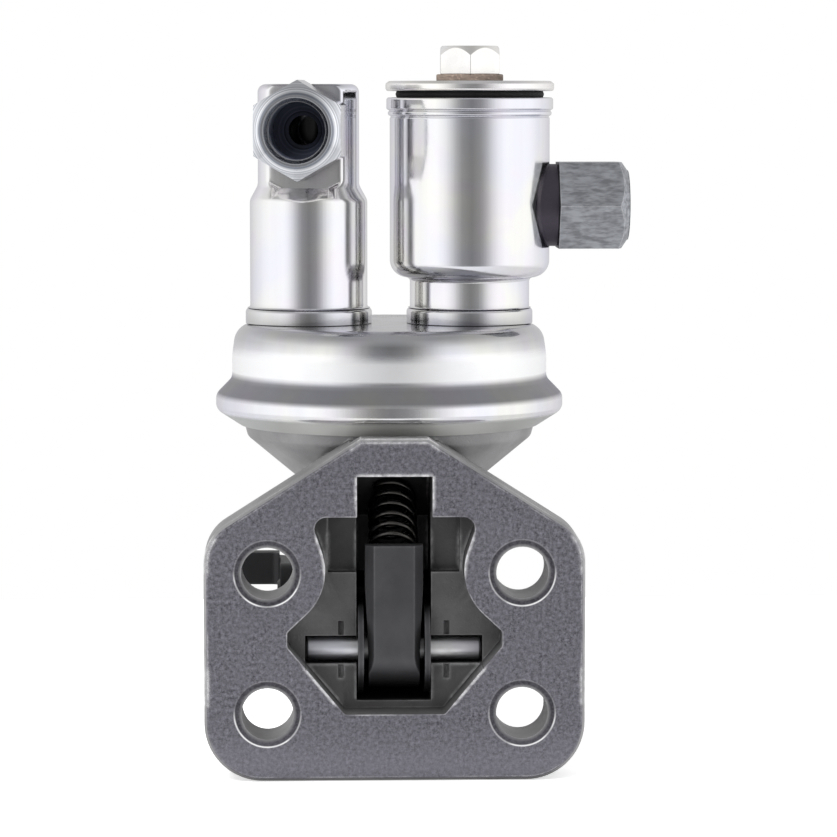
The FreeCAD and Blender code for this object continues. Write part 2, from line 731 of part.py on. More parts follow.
def shell_profile():
    """Half section of the pressed shell: dome, bead and the lip rolled under the rim."""
    wall = "shell_wall"
    bead_top, bead_low = f"({CLAMP_TOP} + bead_top_height)", BEAD_LOW
    cone_top = f"({CLAMP_TOP} + bead_cone_height)"
    return [("0", DOME_TOP),
            ("dome_radius - dome_taper", DOME_TOP, "dome_edge_radius"),
            ("dome_radius", cone_top, "bead_bend_radius"),
            ("bead_radius", bead_top, "bead_bend_radius"),
            ("bead_radius", bead_low, "bead_bend_radius"),
            ("lip_radius", LIP_UNDER),
            ("lip_radius", LIP_TOP),
            (f"bead_radius - {wall}", f"{bead_low} + bead_low_ratio * {wall}", f"bead_bend_radius - {wall}"),
            (f"bead_radius - {wall}", f"{bead_top} - bead_top_ratio * {wall}", f"bead_bend_radius - {wall}"),
            (f"dome_radius - {wall}", f"{cone_top} - bead_top_ratio * {wall}", "bead_bend_radius"),
            (f"dome_radius - dome_taper - {wall}", DOME_UNDER, f"dome_edge_radius - {wall}"),
            ("0", DOME_UNDER)]


def make_upper_shell():
    """Pressed dome, with a hole under each tower."""
    body = turned("upper_shell", shell_profile(), y="pump_axis_depth")
    drill(body, "tower_holes", [(OUTLET_X, "0", "spigot_radius"), (INLET_X, "0", "spigot_radius")],
          "dome_height", "XY", DOME_TOP)
    return body


def outlet_profile():
    """Half section of the outlet tube: spigot, collar, lower barrel and narrower crown."""
    lower, upper = "outlet_lower_radius", "outlet_upper_radius"
    shoulder = f"{DOME_TOP} + outlet_shoulder_height"
    crown = f"{DOME_TOP} + outlet_height"
    collar = f"{DOME_TOP} + collar_height"
    foot = f"{DOME_TOP} - spigot_length"
    wall = "tube_wall"
    return [("spigot_radius", foot),
            ("spigot_radius", DOME_TOP),
            ("collar_radius", DOME_TOP),
            ("collar_radius", collar, "collar_edge_radius"),
            (lower, collar, "outlet_foot_radius"),
            (lower, shoulder, "outlet_bend_radius"),
            (upper, f"{shoulder} + outlet_shoulder_length", "outlet_bend_radius"),
            (upper, crown, "outlet_crown_radius"),
            ("0", crown),
            ("0", f"{crown} - {wall}"),
            (f"{upper} - {wall}", f"{crown} - {wall}", "tube_corner_radius"),
            (f"{upper} - {wall}", f"{shoulder} + outlet_shoulder_length", "outlet_inner_bend"),
            (f"spigot_radius - {wall}", shoulder, "outlet_inner_bend"),
            (f"spigot_radius - {wall}", foot)]


def make_outlet_tower():
    """Drawn tube on the left, with a flat pad pressed in round its port."""
    turn = Rotation(Vector(0, 0, 1), -size("outlet_port_turn"))
    body = turned("outlet_tower", outlet_profile(), OUTLET_X, "pump_axis_depth", "0", turn)
    port = f"{DOME_TOP} + outlet_port_height"
    drill(body, "port_pad", [("0", port, "port_pad_radius")], "outlet_lower_radius", "XZ", "port_pad_depth",
          Reversed=True)
    sketch = new_sketch(body, "pad_wall_outline", "XZ", "port_pad_depth")
    half = "(sqrt(outlet_upper_radius ^ 2 - port_pad_depth ^ 2) - port_pad_wall_inset)"
    low, high = f"{port} - port_pad_radius + port_pad_wall_rise", f"{port} + port_pad_wall_top"
    add_loop(sketch, rectangle(f"-{half}", low, half, high))
    pad(body, "pad_wall", sketch, "tube_wall", Reversed=True)
    drill(body, "port_hole", [("0", port, "port_spigot_diameter / 2")], "tube_wall + cut_margin", "XZ",
          "port_pad_depth", Reversed=False)
    return body


def can_profile():
    """Half section of the strainer can: spigot, collar, neck, foot, rolled bands and mouth."""
    foot, top = CAN_FOOT, CAN_TOP
    collar = f"{DOME_TOP} + collar_height"
    rim = f"({top} - can_rim_height)"
    band = f"({rim} - can_band_height)"
    wall, groove = "tube_wall", "can_groove"
    inner = "(can_radius - tube_wall)"
    neck_bore = "(spigot_radius - tube_wall)"
    start = f"{DOME_TOP} - spigot_length"
    return [("spigot_radius", start),
            ("spigot_radius", DOME_TOP),
            ("collar_radius", DOME_TOP),
            ("collar_radius", collar, "collar_edge_radius"),
            ("can_neck_radius", collar, "can_neck_foot_radius"),
            ("can_neck_radius", foot, "can_neck_top_radius"),
            ("can_radius", foot, "can_foot_radius"),
            ("can_radius", f"{band} - {groove}"),
            (f"can_radius - {groove}", band),
            ("can_band_radius", f"{band} + {groove}"),
            ("can_band_radius", f"{rim} - {groove}"),
            (f"can_band_radius - {groove}", rim),
            ("can_rim_radius", f"{rim} + {groove}"),
            ("can_rim_radius", top, "can_rim_edge_radius"),
            ("can_mouth_radius", top),
            ("can_mouth_radius", f"{top} - {wall}"),
            (inner, f"{top} - {wall}", "tube_corner_radius"),
            (inner, f"{foot} + can_floor", "can_foot_radius - tube_wall"),
            ("0", f"{foot} + can_floor"),
            ("0", foot),
            (neck_bore, foot, "tube_corner_radius"),
            (neck_bore, start)]


def make_inlet_can():
    """Drawn can on the right, with holes through its floor and one in its side."""
    body = turned("inlet_can", can_profile(), INLET_X, "pump_axis_depth")
    holes = [(f"floor_hole_ring * cos({60 * i}deg)", f"floor_hole_ring * sin({60 * i}deg)",
              "floor_hole_diameter / 2") for i in range(6)]
    drill(body, "floor_holes", holes, "can_floor + 2 * cut_margin", "XY",
          f"{CAN_FOOT} + can_floor + cut_margin")
    port = f"{DOME_TOP} + inlet_port_height"
    drill(body, "port_hole", [("0", port, "port_spigot_diameter / 2")], "can_radius + cut_margin", "YZ", "0",
          Reversed=True)
    return body


# Hexagon fittings, made upright with the open end up

def hexagon(name, flats, height, z="0"):
    """Make an upright hexagonal prism."""
    prism = primitive("Prism", name, Circumradius=f"{flats} / sqrt(3)", Height=height)
    prism.Polygon = 6
    return set_place(prism, z=z)


def cylinder(name, radius, height, z="0"):
    """Make an upright cylinder on the Z axis."""
    return set_place(primitive("Cylinder", name, Radius=radius, Height=height), z=z)


def chamfered_hexagon(name, flats, height, chamfer, z="0"):
    """Make a hexagon whose top corners are turned off by a cone."""
    prism = hexagon(name + "_prism", flats, height, z)
    spread = f"({flats} / 2 - {chamfer})"
    cone = primitive("Cone", name + "_cone", Radius1=f"{spread} + {height} * hexagon_chamfer_slope",
                     Radius2=spread, Height=height)
    set_place(cone, z=z)
    return combine("Common", name, prism, cone)


def make_fitting(label, hex_start, spigot_start, shank=None):
    """Female fitting: spigot, hexagon with a threaded mouth and, on the can, a round shank."""
    end = f"({hex_start} + fitting_length)"
    hexagonal = chamfered_hexagon(label + "_hex", "fitting_flats", "fitting_length", "fitting_chamfer",
                                  hex_start)
    spigot = cylinder(label + "_spigot", "port_spigot_diameter / 2",
                      f"{hex_start} - {spigot_start} + cut_margin", spigot_start)
    outside = doc.addObject("Part::MultiFuse", label + "_outside")
    outside.Shapes = [hexagonal, spigot] + ([shank] if shank else [])
    thread = cylinder(label + "_thread", "thread_diameter / 2", "thread_depth", f"{end} - thread_depth")
    mouth = primitive("Cone", label + "_mouth", Radius1="thread_diameter / 2",
                      Radius2="thread_diameter / 2 + thread_lead_in", Height="thread_lead_in")
    set_place(mouth, z=f"{end} - thread_lead_in")
    seat = primitive("Cone", label + "_seat", Radius1="passage_diameter / 2", Radius2="thread_diameter / 2",
                     Height="(thread_diameter - passage_diameter) / 2")
    set_place(seat, z=f"{end} - thread_depth - (thread_diameter - passage_diameter) / 2")
    passage = cylinder(label + "_passage", "passage_diameter / 2", f"{end} - {spigot_start} + cut_margin",
                       f"{spigot_start} - cut_margin")
    inside = doc.addObject("Part::MultiFuse", label + "_inside")
    inside.Shapes = [thread, mouth, seat, passage]
    return combine("Cut", label, outside, inside)


def make_outlet_fitting():
    """Fitting on the outlet tower's pad, turned a little to the left."""
    fitting = make_fitting("outlet_fitting", "port_pad_depth", "(port_pad_depth - tube_wall)")
    lying = Rotation(Vector(1, 0, 0), 90)
    vertex_up = Rotation(Vector(0, 0, 1), 90)
    turn = Rotation(Vector(0, 0, 1), -size("outlet_port_turn"))
    return set_place(fitting, OUTLET_X, "pump_axis_depth", f"{DOME_TOP} + outlet_port_height",
                     turn * lying * vertex_up)


def make_inlet_fitting():
    """Fitting on the right side of the can, its shank saddled onto the can's wall."""
    can = primitive("Cylinder", "can_saddle", Radius="can_radius", Height="3 * fitting_flats")
    set_place(can, y="-1.5 * fitting_flats", turn=Rotation(Vector(1, 0, 0), -90))
    shank = combine("Cut", "saddled_shank",
                    cylinder("shank_blank", "fitting_shank_radius", "can_radius + fitting_shank_length"), can)
    fitting = make_fitting("inlet_fitting", "(can_radius + fitting_shank_length)", "(can_radius - tube_wall)",
                           shank)
    return set_place(fitting, INLET_X, "pump_axis_depth", f"{DOME_TOP} + inlet_port_height",
                     Rotation(Vector(0, 1, 0), 90) * Rotation(Vector(0, 0, 1), 90))


# Cover, bolt and what stands in the can

def ring_profile(inner, outer, low, high, edge=None):
    """Corners of a plain ring's half section, its outer edges rounded when asked."""
    rounding = (edge,) if edge else ()
    return [(inner, low), (outer, low) + rounding, (outer, high) + rounding, (inner, high)]


def make_cover():
    """Gasket, cap plate and sealing washer over the can's mouth."""
    place = {"x": INLET_X, "y": "pump_axis_depth"}
    turned("cover_gasket", ring_profile("can_mouth_radius - gasket_overhang", "gasket_radius", CAN_TOP,
                                        COVER_UNDER), **place)
    bore = "(bolt_diameter / 2 + bolt_clearance)"
    turned("can_cover", ring_profile(bore, "cover_radius", COVER_UNDER, COVER_TOP, "cover_edge_radius"),
           **place)
    turned("cover_washer", ring_profile(bore, "washer_radius", COVER_TOP, f"{COVER_TOP} + washer_thickness"),
           **place)


def make_cover_bolt():
    """Hexagon bolt, one corner to the front, screwed down into the post."""
    head_under = f"{COVER_TOP} + washer_thickness"
    head = chamfered_hexagon("bolt_head", "bolt_flats", "bolt_head_height", "bolt_head_chamfer", head_under)
    shank = cylinder("bolt_shank", "bolt_diameter / 2", "bolt_length", f"{head_under} - bolt_length")
    bolt = combine("Fuse", "cover_bolt", head, shank)
    return set_place(bolt, INLET_X, "pump_axis_depth", "0", Rotation(Vector(0, 0, 1), size("bolt_angle")))


def make_can_inside():
    """Threaded post under the bolt and the gauze strainer round it."""
    bottom, top = f"({CAN_FOOT} + can_floor)", f"({CAN_TOP} - post_head_room)"
    hole_end = f"({COVER_TOP} + washer_thickness - bolt_length - post_head_room)"
    turned("can_post", [("0", bottom), ("post_radius", bottom), ("post_radius", top),
                        ("bolt_diameter / 2", top), ("bolt_diameter / 2", hole_end), ("0", hole_end)],
           INLET_X, "pump_axis_depth")
    outer, wall = "strainer_radius", "strainer_wall"
    rim, bore = f"({outer} + {wall})", f"{outer} - {wall}"
    low, high = f"{bottom} + strainer_rim_height", f"{top} - strainer_rim_height"
    turned("strainer", [(bore, bottom), (rim, bottom), (rim, low), (outer, low), (outer, high), (rim, high),
                        (rim, top), (bore, top)], INLET_X, "pump_axis_depth")


# Valves

def valve_body_profile():
    """Half section of the valve body: clamped rim, skirt and raised plate."""
    rim_top = f"{CLAMP_TOP} + valve_rim_thickness"
    skirt = "valve_skirt_radius"
    return [("0", PLATE_UNDER),
            (f"{skirt} - valve_skirt_wall", PLATE_UNDER),
            (f"{skirt} - valve_skirt_wall", CLAMP_TOP),
            ("valve_rim_radius", CLAMP_TOP),
            ("valve_rim_radius", rim_top),
            (skirt, rim_top),
            (skirt, PLATE_TOP),
            ("0", PLATE_TOP)]


def make_valve_body():
    """Moulded plate that holds both valves, with a wall that parts inlet from outlet."""
    body = turned("valve_body", valve_body_profile(), y="pump_axis_depth")
    drill(body, "cage_bores", [(OUTLET_X, "0", "valve_cage_radius"), (INLET_X, "0", "valve_cage_radius")],
          "valve_plate_thickness + 2 * cut_margin", "XY", f"{PLATE_TOP} + cut_margin")
    sketch = new_sketch(body, "divider_outline", "XY", PLATE_TOP)
    half, reach = "(valve_divider / 2)", "(valve_skirt_radius - divider_end_gap)"
    add_loop(sketch, rectangle(f"-{half}", f"-{reach}", half, reach))
    pad(body, "divider", sketch, f"{DOME_UNDER} - {PLATE_TOP}")
    return body


def make_valve(label, x, seat_up):
    """Cage with its seat, the disc on the seat and the spring that closes it."""
    low, high = PLATE_UNDER, f"({PLATE_UNDER} + valve_cage_height)"
    wall, cage, bore = "valve_cage_wall", "valve_cage_radius", "(valve_cage_radius - valve_cage_wall)"
    seat_hole, vent = "valve_seat_radius", "valve_vent_radius"
    upper_hole, lower_hole = (seat_hole, vent) if seat_up else (vent, seat_hole)
    place = {"x": x, "y": "pump_axis_depth"}
    body = turned(label + "_valve_cage", [
        (upper_hole, high), (cage, high), (cage, low), (lower_hole, low),
        (lower_hole, f"{low} + {wall}"), (bore, f"{low} + {wall}"), (bore, f"{high} - {wall}"),
        (upper_hole, f"{high} - {wall}")], **place)
    holes = [(f"valve_hole_ring * cos({60 * i}deg)", f"valve_hole_ring * sin({60 * i}deg)",
              "valve_hole_diameter / 2") for i in range(6)]
    drill(body, label + "_cage_holes", holes, wall, "XY", f"{low} + {wall}" if seat_up else high)
    disc_low = f"({high} - {wall} - valve_disc_thickness)" if seat_up else f"({low} + {wall})"
    disc = turned(label + "_valve_disc", [
        ("0", disc_low), ("valve_disc_radius", disc_low),
        ("valve_disc_radius", f"{disc_low} + valve_disc_thickness"),
        ("0", f"{disc_low} + valve_disc_thickness")], **place)
    spring_length = f"(valve_cage_height - 2 * {wall} - valve_disc_thickness)"
    spring_low = f"{low} + {wall}" if seat_up else f"{low} + {wall} + valve_disc_thickness"
    spring = coil(label + "_valve_spring", "valve_spring_radius", "valve_spring_wire", "valve_spring_turns",
                  spring_length)
    set_place(spring, x, "pump_axis_depth", spring_low)
    return body, disc, spring


# Diaphragm, plates and pull rod

def make_diaphragm():
    """Rubbered cloth disc, its rim clamped and its middle raised by the spring."""
    rod, roll, bend = "rod_end_diameter / 2", "diaphragm_roll_radius", "diaphragm_edge_bend"
    valley, clamped = "rim_rise - diaphragm_roll_drop", "rim_inner_radius - diaphragm_clamp_gap"
    return turned("diaphragm", [
        (rod, CENTRE_UNDER), ("plate_radius", CENTRE_UNDER, bend), (roll, valley, "diaphragm_roll_bend"),
        (clamped, "rim_rise", bend), ("diaphragm_radius", "rim_rise"), ("diaphragm_radius", CLAMP_TOP),
        (clamped, CLAMP_TOP, bend), (roll, f"{valley} + diaphragm_thickness", "diaphragm_roll_bend"),
        ("plate_radius", CENTRE_TOP, bend), (rod, CENTRE_TOP)], y="pump_axis_depth")


def dished_plate(label, low, thickness, side):
    """Round plate with its rim bent away from the cloth."""
    rod, lip = "rod_end_diameter / 2", f"{side}plate_lip_rise"
    edge = "plate_radius - plate_bend_inset"
    return turned(label, [
        (rod, low), (edge, low, "plate_bend_radius"), ("plate_radius - plate_inset", f"{low} + {lip}"),
        ("plate_radius - plate_inset", f"{low} + {lip} + {thickness}"),
        (edge, f"{low} + {thickness}", "plate_bend_radius"), (rod, f"{low} + {thickness}")],
        y="pump_axis_depth")


def make_pull_rod():
    """Rod with a button below the link's fork and a shoulder under the plates."""
    shaft, tip = "rod_diameter / 2", "rod_end_diameter / 2"
    nut_top = f"{CENTRE_TOP} + upper_plate_thickness + rod_nut_height + rod_tip_reach"
    shoulder = f"{LOWER_PLATE_UNDER} - rod_shoulder_height"
    return turned("pull_rod", [
        ("0", f"{BUTTON_TOP} - rod_button_height"),
        ("rod_button_radius", f"{BUTTON_TOP} - rod_button_height", "rod_button_rounding"),
        ("rod_button_radius", BUTTON_TOP), (shaft, BUTTON_TOP), (shaft, shoulder),
        ("rod_shoulder_radius", shoulder), ("rod_shoulder_radius", LOWER_PLATE_UNDER),
        (tip, LOWER_PLATE_UNDER), (tip, nut_top), ("0", nut_top)], y="pump_axis_depth")


def make_rod_nut():
    """Nut that clamps the plates and the cloth on the rod."""
    low = f"{CENTRE_TOP} + upper_plate_thickness"
    nut = combine("Cut", "rod_nut", hexagon("nut_prism", "rod_nut_flats", "rod_nut_height", low),
                  cylinder("nut_bore", "rod_end_diameter / 2", "rod_nut_height", low))
    return set_place(nut, y="pump_axis_depth")


def make_diaphragm_spring():
    """Spring that lifts the diaphragm, its dished seat and the oil seal that the seat keeps in."""
    place = {"y": "pump_axis_depth"}
    seat_top = f"({CHAMBER_FLOOR} + spring_seat_thickness)"
    rod, dish = "(rod_diameter / 2 + 4 * running_gap)", "diaphragm_spring_radius - seat_dish_inset"
    dish_top = f"{seat_top} + seat_dish_rise"
    turned("spring_seat", [
        (rod, CHAMBER_FLOOR), ("spring_seat_radius", CHAMBER_FLOOR),
        ("spring_seat_radius", seat_top), (dish, seat_top), (f"{dish} - seat_dish_step", dish_top),
        (rod, dish_top)], **place)
    turned("oil_seal", ring_profile("rod_diameter / 2 + running_gap", "seal_radius", SEAL_UNDER,
                                    CHAMBER_FLOOR), **place)
    spring = coil("diaphragm_spring", "diaphragm_spring_radius", "diaphragm_spring_wire",
                  "diaphragm_spring_turns", f"({LOWER_PLATE_UNDER} - {seat_top} - 2 * running_gap)")
    return set_place(spring, "0", "pump_axis_depth", f"{seat_top} + running_gap")


# Rocker arm, link and return spring

def rocker_outline():
    """Side view of the rocker arm, as depth and height: pad, spring seat, hub and toe."""
    low = spring_axis_point("0", "-rocker_seat_reach")
    high = spring_axis_point("0", "rocker_seat_reach - rocker_seat_inset")
    face, hub = "rocker_face_depth", "rocker_hub_radius"
    toe_low = "link_top_rise + 2 * running_gap"
    toe, corner = f"{PRIMER_DEPTH} - primer_shaft_diameter / 2 - rocker_toe_gap", "rocker_corner_radius"
    toe_high = f"{toe_low} + rocker_toe_height"
    return [(face, f"-pin_drop - {hub}", f"{hub} - {corner}"),
            (f"pin_depth + {hub}", f"-pin_drop - {hub}", f"{hub} - {corner}"),
            (f"pin_depth + {hub}", toe_low, corner),
            (toe, toe_low, "rocker_toe_radius"),
            (toe, f"{toe_high} - rocker_toe_step", "rocker_toe_radius"),
            (f"pin_depth + {hub} - rocker_toe_step", f"{toe_high} + rocker_toe_step", "rocker_bend_radius"),
            low,
            high,
            (high[0], ROCKER_TOP, corner),
            (face, ROCKER_TOP, "rocker_top_radius")]


def make_rocker_arm():
    """Forged bell crank that the engine's cam pushes, with bevelled face edges."""
    body = new_body("rocker_arm")
    sketch = new_sketch(body, "rocker_outline", "YZ")
    add_loop(sketch, rocker_outline())
    pad(body, "rocker_blank", sketch, "rocker_width", Midplane=True)
    wide, narrow, face = "(rocker_width / 2)", "(rocker_hub_width / 2)", "rocker_face_depth"
    foot = "-pin_drop - rocker_hub_radius - cut_margin"
    sketch = new_sketch(body, "rocker_bevels", "XY")
    for side in ("", "-"):
        add_loop(sketch, [(f"{side}({wide} - rocker_bevel - cut_margin)", f"{face} - cut_margin"),
                          (f"{side}({wide} + cut_margin)", f"{face} - cut_margin"),
                          (f"{side}({wide} + cut_margin)", f"{face} + rocker_bevel + cut_margin")])
    pocket(body, "rocker_bevelling", sketch, f"4 * {ROCKER_TOP}", Midplane=True)
    sketch = new_sketch(body, "rocker_taper", "XZ")
    for side in ("", "-"):
        add_loop(sketch, [(f"{side}{wide}", f"{ROCKER_TOP} / 2"),
                          (f"{side}({wide} + cut_margin)", f"{ROCKER_TOP} / 2"),
                          (f"{side}({wide} + cut_margin)", foot),
                          (f"{side}{narrow}", foot),
                          (f"{side}{narrow}", "-pin_drop")])
    pocket(body, "rocker_waist", sketch, "pump_axis_depth")
    drill(body, "rocker_bore", [("pin_depth", "-pin_drop", "pin_diameter / 2 + running_gap")],
          "rocker_width + 2 * cut_margin", "YZ", Midplane=True)
    return body


def link_outline():
    """Side view of the link, as depth and height: round cheek, web and rounded nose."""
    cheek, nose, edge, step = "link_cheek_radius", "link_nose_radius", "link_edge_radius", "link_step_length"
    tip = "pump_axis_depth"
    cheek_round, nose_round = f"{cheek} - 4 * running_gap", f"{nose} - 2 * running_gap"
    return [(f"pin_depth - {cheek}", f"-pin_drop - {cheek}", cheek_round),
            (f"pin_depth + {cheek}", f"-pin_drop - {cheek}", cheek_round),
            (f"pin_depth + {cheek}", f"-pin_drop - {nose}", edge),
            (f"{tip} + {nose}", f"-pin_drop - {nose}", nose_round),
            (f"{tip} + {nose}", f"-pin_drop + {nose}", nose_round),
            (f"{tip} - {nose} - {step}", f"-pin_drop + {nose}", edge),
            (f"{tip} - {nose} - 2 * {step}", "link_top_rise", edge),
            (f"pin_depth + {cheek}", "link_top_rise", edge),
            (f"pin_depth + {cheek} - {step}", f"-pin_drop + {cheek}", step),
            (f"pin_depth - {cheek}", f"-pin_drop + {cheek}", cheek_round)]


def make_rocker_link():
    """Link: two cheeks on the pin, a web under the rocker's toe and a fork round the rod."""
    body = new_body("rocker_link")
    sketch = new_sketch(body, "link_outline", "YZ")
    add_loop(sketch, link_outline())
    pad(body, "link_blank", sketch, f"2 * {LINK_SIDE}", Midplane=True)
    inner, outer = "(rocker_width / 2 + link_side_play)", f"({LINK_SIDE} + cut_margin)"
    fork, slot = "(link_fork_width / 2)", "(link_fork_slot / 2)"
    web_start, far = "(pin_depth + link_web_reach)", "(pump_axis_depth + 2 * link_nose_radius)"
    fork_start = f"({web_start} + link_web_length)"
    sketch = new_sketch(body, "link_cuts", "XY")
    add_loop(sketch, rectangle(f"-{inner}", "0", inner, web_start))
    fork_end = "pump_axis_depth - rod_diameter / 2 - link_fork_end_gap"
    add_loop(sketch, rectangle(f"-{slot}", fork_end, slot, far))
    add_loop(sketch, rectangle(fork, fork_start, outer, far))
    add_loop(sketch, rectangle(f"-{outer}", fork_start, f"-{fork}", far))
    pocket(body, "link_fork", sketch, "6 * link_cheek_radius", Midplane=True)
    drill(body, "link_bore", [("pin_depth", "-pin_drop", "pin_diameter / 2 + running_gap")],
          f"2 * {outer}", "YZ", Midplane=True)
    return body


def make_pivot_pin():
    """Straight pin with chamfered ends, lying in the ears' grooves."""
    half, radius, chamfer = PIN_HALF, "(pin_diameter / 2)", "pin_end_chamfer"
    return turned("pivot_pin", [
        ("0", f"-{half}"), (f"{radius} - {chamfer}", f"-{half}"), (radius, f"-{half} + {chamfer}"),
        (radius, f"{half} - {chamfer}"), (f"{radius} - {chamfer}", half), ("0", half)],
        "0", "pin_depth", "-pin_drop", Rotation(Vector(0, 1, 0), 90))


def make_rocker_spring():
    """Return spring from the back of the pad up to the sloping roof of the cavity."""
    spring = coil("rocker_spring", "rocker_spring_radius", "rocker_spring_wire", "rocker_spring_turns",
                  "(rocker_spring_length - 2 * seat_gap)")
    start = spring_axis_point("seat_gap")
    lean = Rotation(Vector(1, 0, 0), size("rocker_spring_rise") - 90)
    return set_place(spring, "0", start[0], start[1], lean)


# Priming lever

def make_primer():
    """Cross shaft with a flat in its middle, and the bent strip lever on its left end."""
    radius = "(primer_shaft_diameter / 2)"
    outside = "(primer_hub_reach + primer_strip_thickness)"
    lying = Rotation(Vector(0, 1, 0), 90)
    chamfer, far_end = "primer_shaft_chamfer", "slot_width / 2 + primer_shaft_overreach"
    shaft = turned("primer_shaft", [
        ("0", f"-{outside} - {chamfer}"), (f"{radius} - {chamfer}", f"-{outside} - {chamfer}"),
        (radius, f"-{outside}"), (radius, far_end), ("0", far_end)],
        "0", PRIMER_DEPTH, "primer_rise", lying)
    sketch = new_sketch(shaft, "flat_outline", "XZ")
    add_loop(sketch, rectangle(f"{radius} - primer_flat_depth", f"-{SLOT_SIDE} + primer_flat_inset",
                               f"{radius} + cut_margin", f"{SLOT_SIDE} - primer_flat_inset"))
    pocket(shaft, "flat", sketch, "2 * primer_shaft_diameter", Midplane=True)

    body = new_body("primer_lever")
    sketch = new_sketch(body, "hub_outline", "YZ", "-primer_hub_reach")
    add_circle(sketch, "0", "0", "primer_hub_radius")
    pad(body, "hub", sketch, "primer_strip_thickness", Reversed=True)
    near, far = "primer_hub_reach", outside
    half = "(primer_strip_width / 2)"
    bend = "primer_bend_radius"
    sketch = new_sketch(body, "strip_outline", "XY", f"-{half}")
    reach, tab = "primer_reach", f"({near} + primer_tab_length)"
    add_loop(sketch, [(f"-{near}", "0"), (f"-{near}", reach, f"{bend} + primer_strip_thickness"),
                      (f"-{tab}", reach), (f"-{tab}", f"{reach} - primer_strip_thickness"),
                      (f"-{far}", f"{reach} - primer_strip_thickness", bend), (f"-{far}", "0")])
    pad(body, "strip", sketch, "primer_strip_width")
    sketch = new_sketch(body, "step_outline", "XY", half)
    add_loop(sketch, rectangle("-primer_tab_step_reach", "primer_hub_radius", "0", f"{reach} + cut_margin"))
    pocket(body, "strip_step", sketch, "primer_tab_step")
    drill(body, "hub_bore", [("0", "0", radius)], "primer_strip_thickness + 2 * cut_margin", "YZ",
          "-primer_hub_reach + cut_margin", Reversed=False)
    set_place(body, "0", PRIMER_DEPTH, "primer_rise", Rotation(Vector(1, 0, 0), size("primer_tilt")))

    spring = coil("primer_spring", f"{radius} + primer_spring_clearance", "primer_spring_wire",
                  "primer_spring_turns", "(primer_hub_reach - primer_boss_reach - 2 * seat_gap)")
    set_place(spring, "-primer_hub_reach + seat_gap", PRIMER_DEPTH, "primer_rise", lying)


# What leaves the model, in the order of a bench strip-down
NODES = ["lower_housing", "upper_shell", "outlet_tower", "outlet_fitting", "inlet_can", "inlet_fitting",
         "cover_gasket", "can_cover", "cover_washer", "cover_bolt", "can_post", "strainer",
         "valve_body", "inlet_valve_cage", "inlet_valve_disc", "inlet_valve_spring",
         "outlet_valve_cage", "outlet_valve_disc", "outlet_valve_spring",
         "diaphragm", "upper_plate", "lower_plate", "pull_rod", "rod_nut", "diaphragm_spring",
         "spring_seat", "oil_seal", "rocker_arm", "rocker_link", "pivot_pin", "rocker_spring",
         "primer_shaft", "primer_lever", "primer_spring"]


def make_pump():
    cut_stakes(make_lower_housing())
    make_upper_shell()
    make_outlet_tower()
    make_outlet_fitting()
    make_inlet_can()
    make_inlet_fitting()
    make_cover()
    make_cover_bolt()
    make_can_inside()
    make_valve_body()
    make_valve("inlet", INLET_X, seat_up=True)
    make_valve("outlet", OUTLET_X, seat_up=False)
    make_diaphragm()
    dished_plate("upper_plate", CENTRE_TOP, "upper_plate_thickness", "")
    dished_plate("lower_plate", LOWER_PLATE_UNDER, "lower_plate_thickness", "-")
    make_pull_rod()
    make_rod_nut()
    make_diaphragm_spring()
    make_rocker_arm()
    make_rocker_link()
    make_pivot_pin()
    make_rocker_spring()
    make_primer()


def check_and_export():
    """Check every object and every piece's shape, then write one file for each piece."""
    doc.recompute()
    for item in doc.Objects:
        if "Invalid" in item.State or "Error" in item.State:
            raise RuntimeError(f"{item.Name} did not recompute: {item.State}")
    pieces = {item.Label: item for item in doc.Objects if item.Label in NODES}
    for node in NODES:
        shape = pieces[node].Shape
        if shape.isNull() or not shape.isValid() or len(shape.Solids) != 1:
            raise RuntimeError(f"{node} is not one valid solid")
    os.makedirs("parts", exist_ok=True)
    for node in NODES:
        pieces[node].Shape.exportStep(f"parts/{node}.step")
        print(node, round(pieces[node].Shape.Volume, 1))


make_pump()
check_and_export()
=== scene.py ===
import math
import bmesh
import bpy
from bpy.props import (BoolProperty, FloatProperty, FloatVectorProperty, IntProperty,
                       PointerProperty)
from bpy.types import Operator, Panel, PropertyGroup
from mathutils import Matrix, Vector


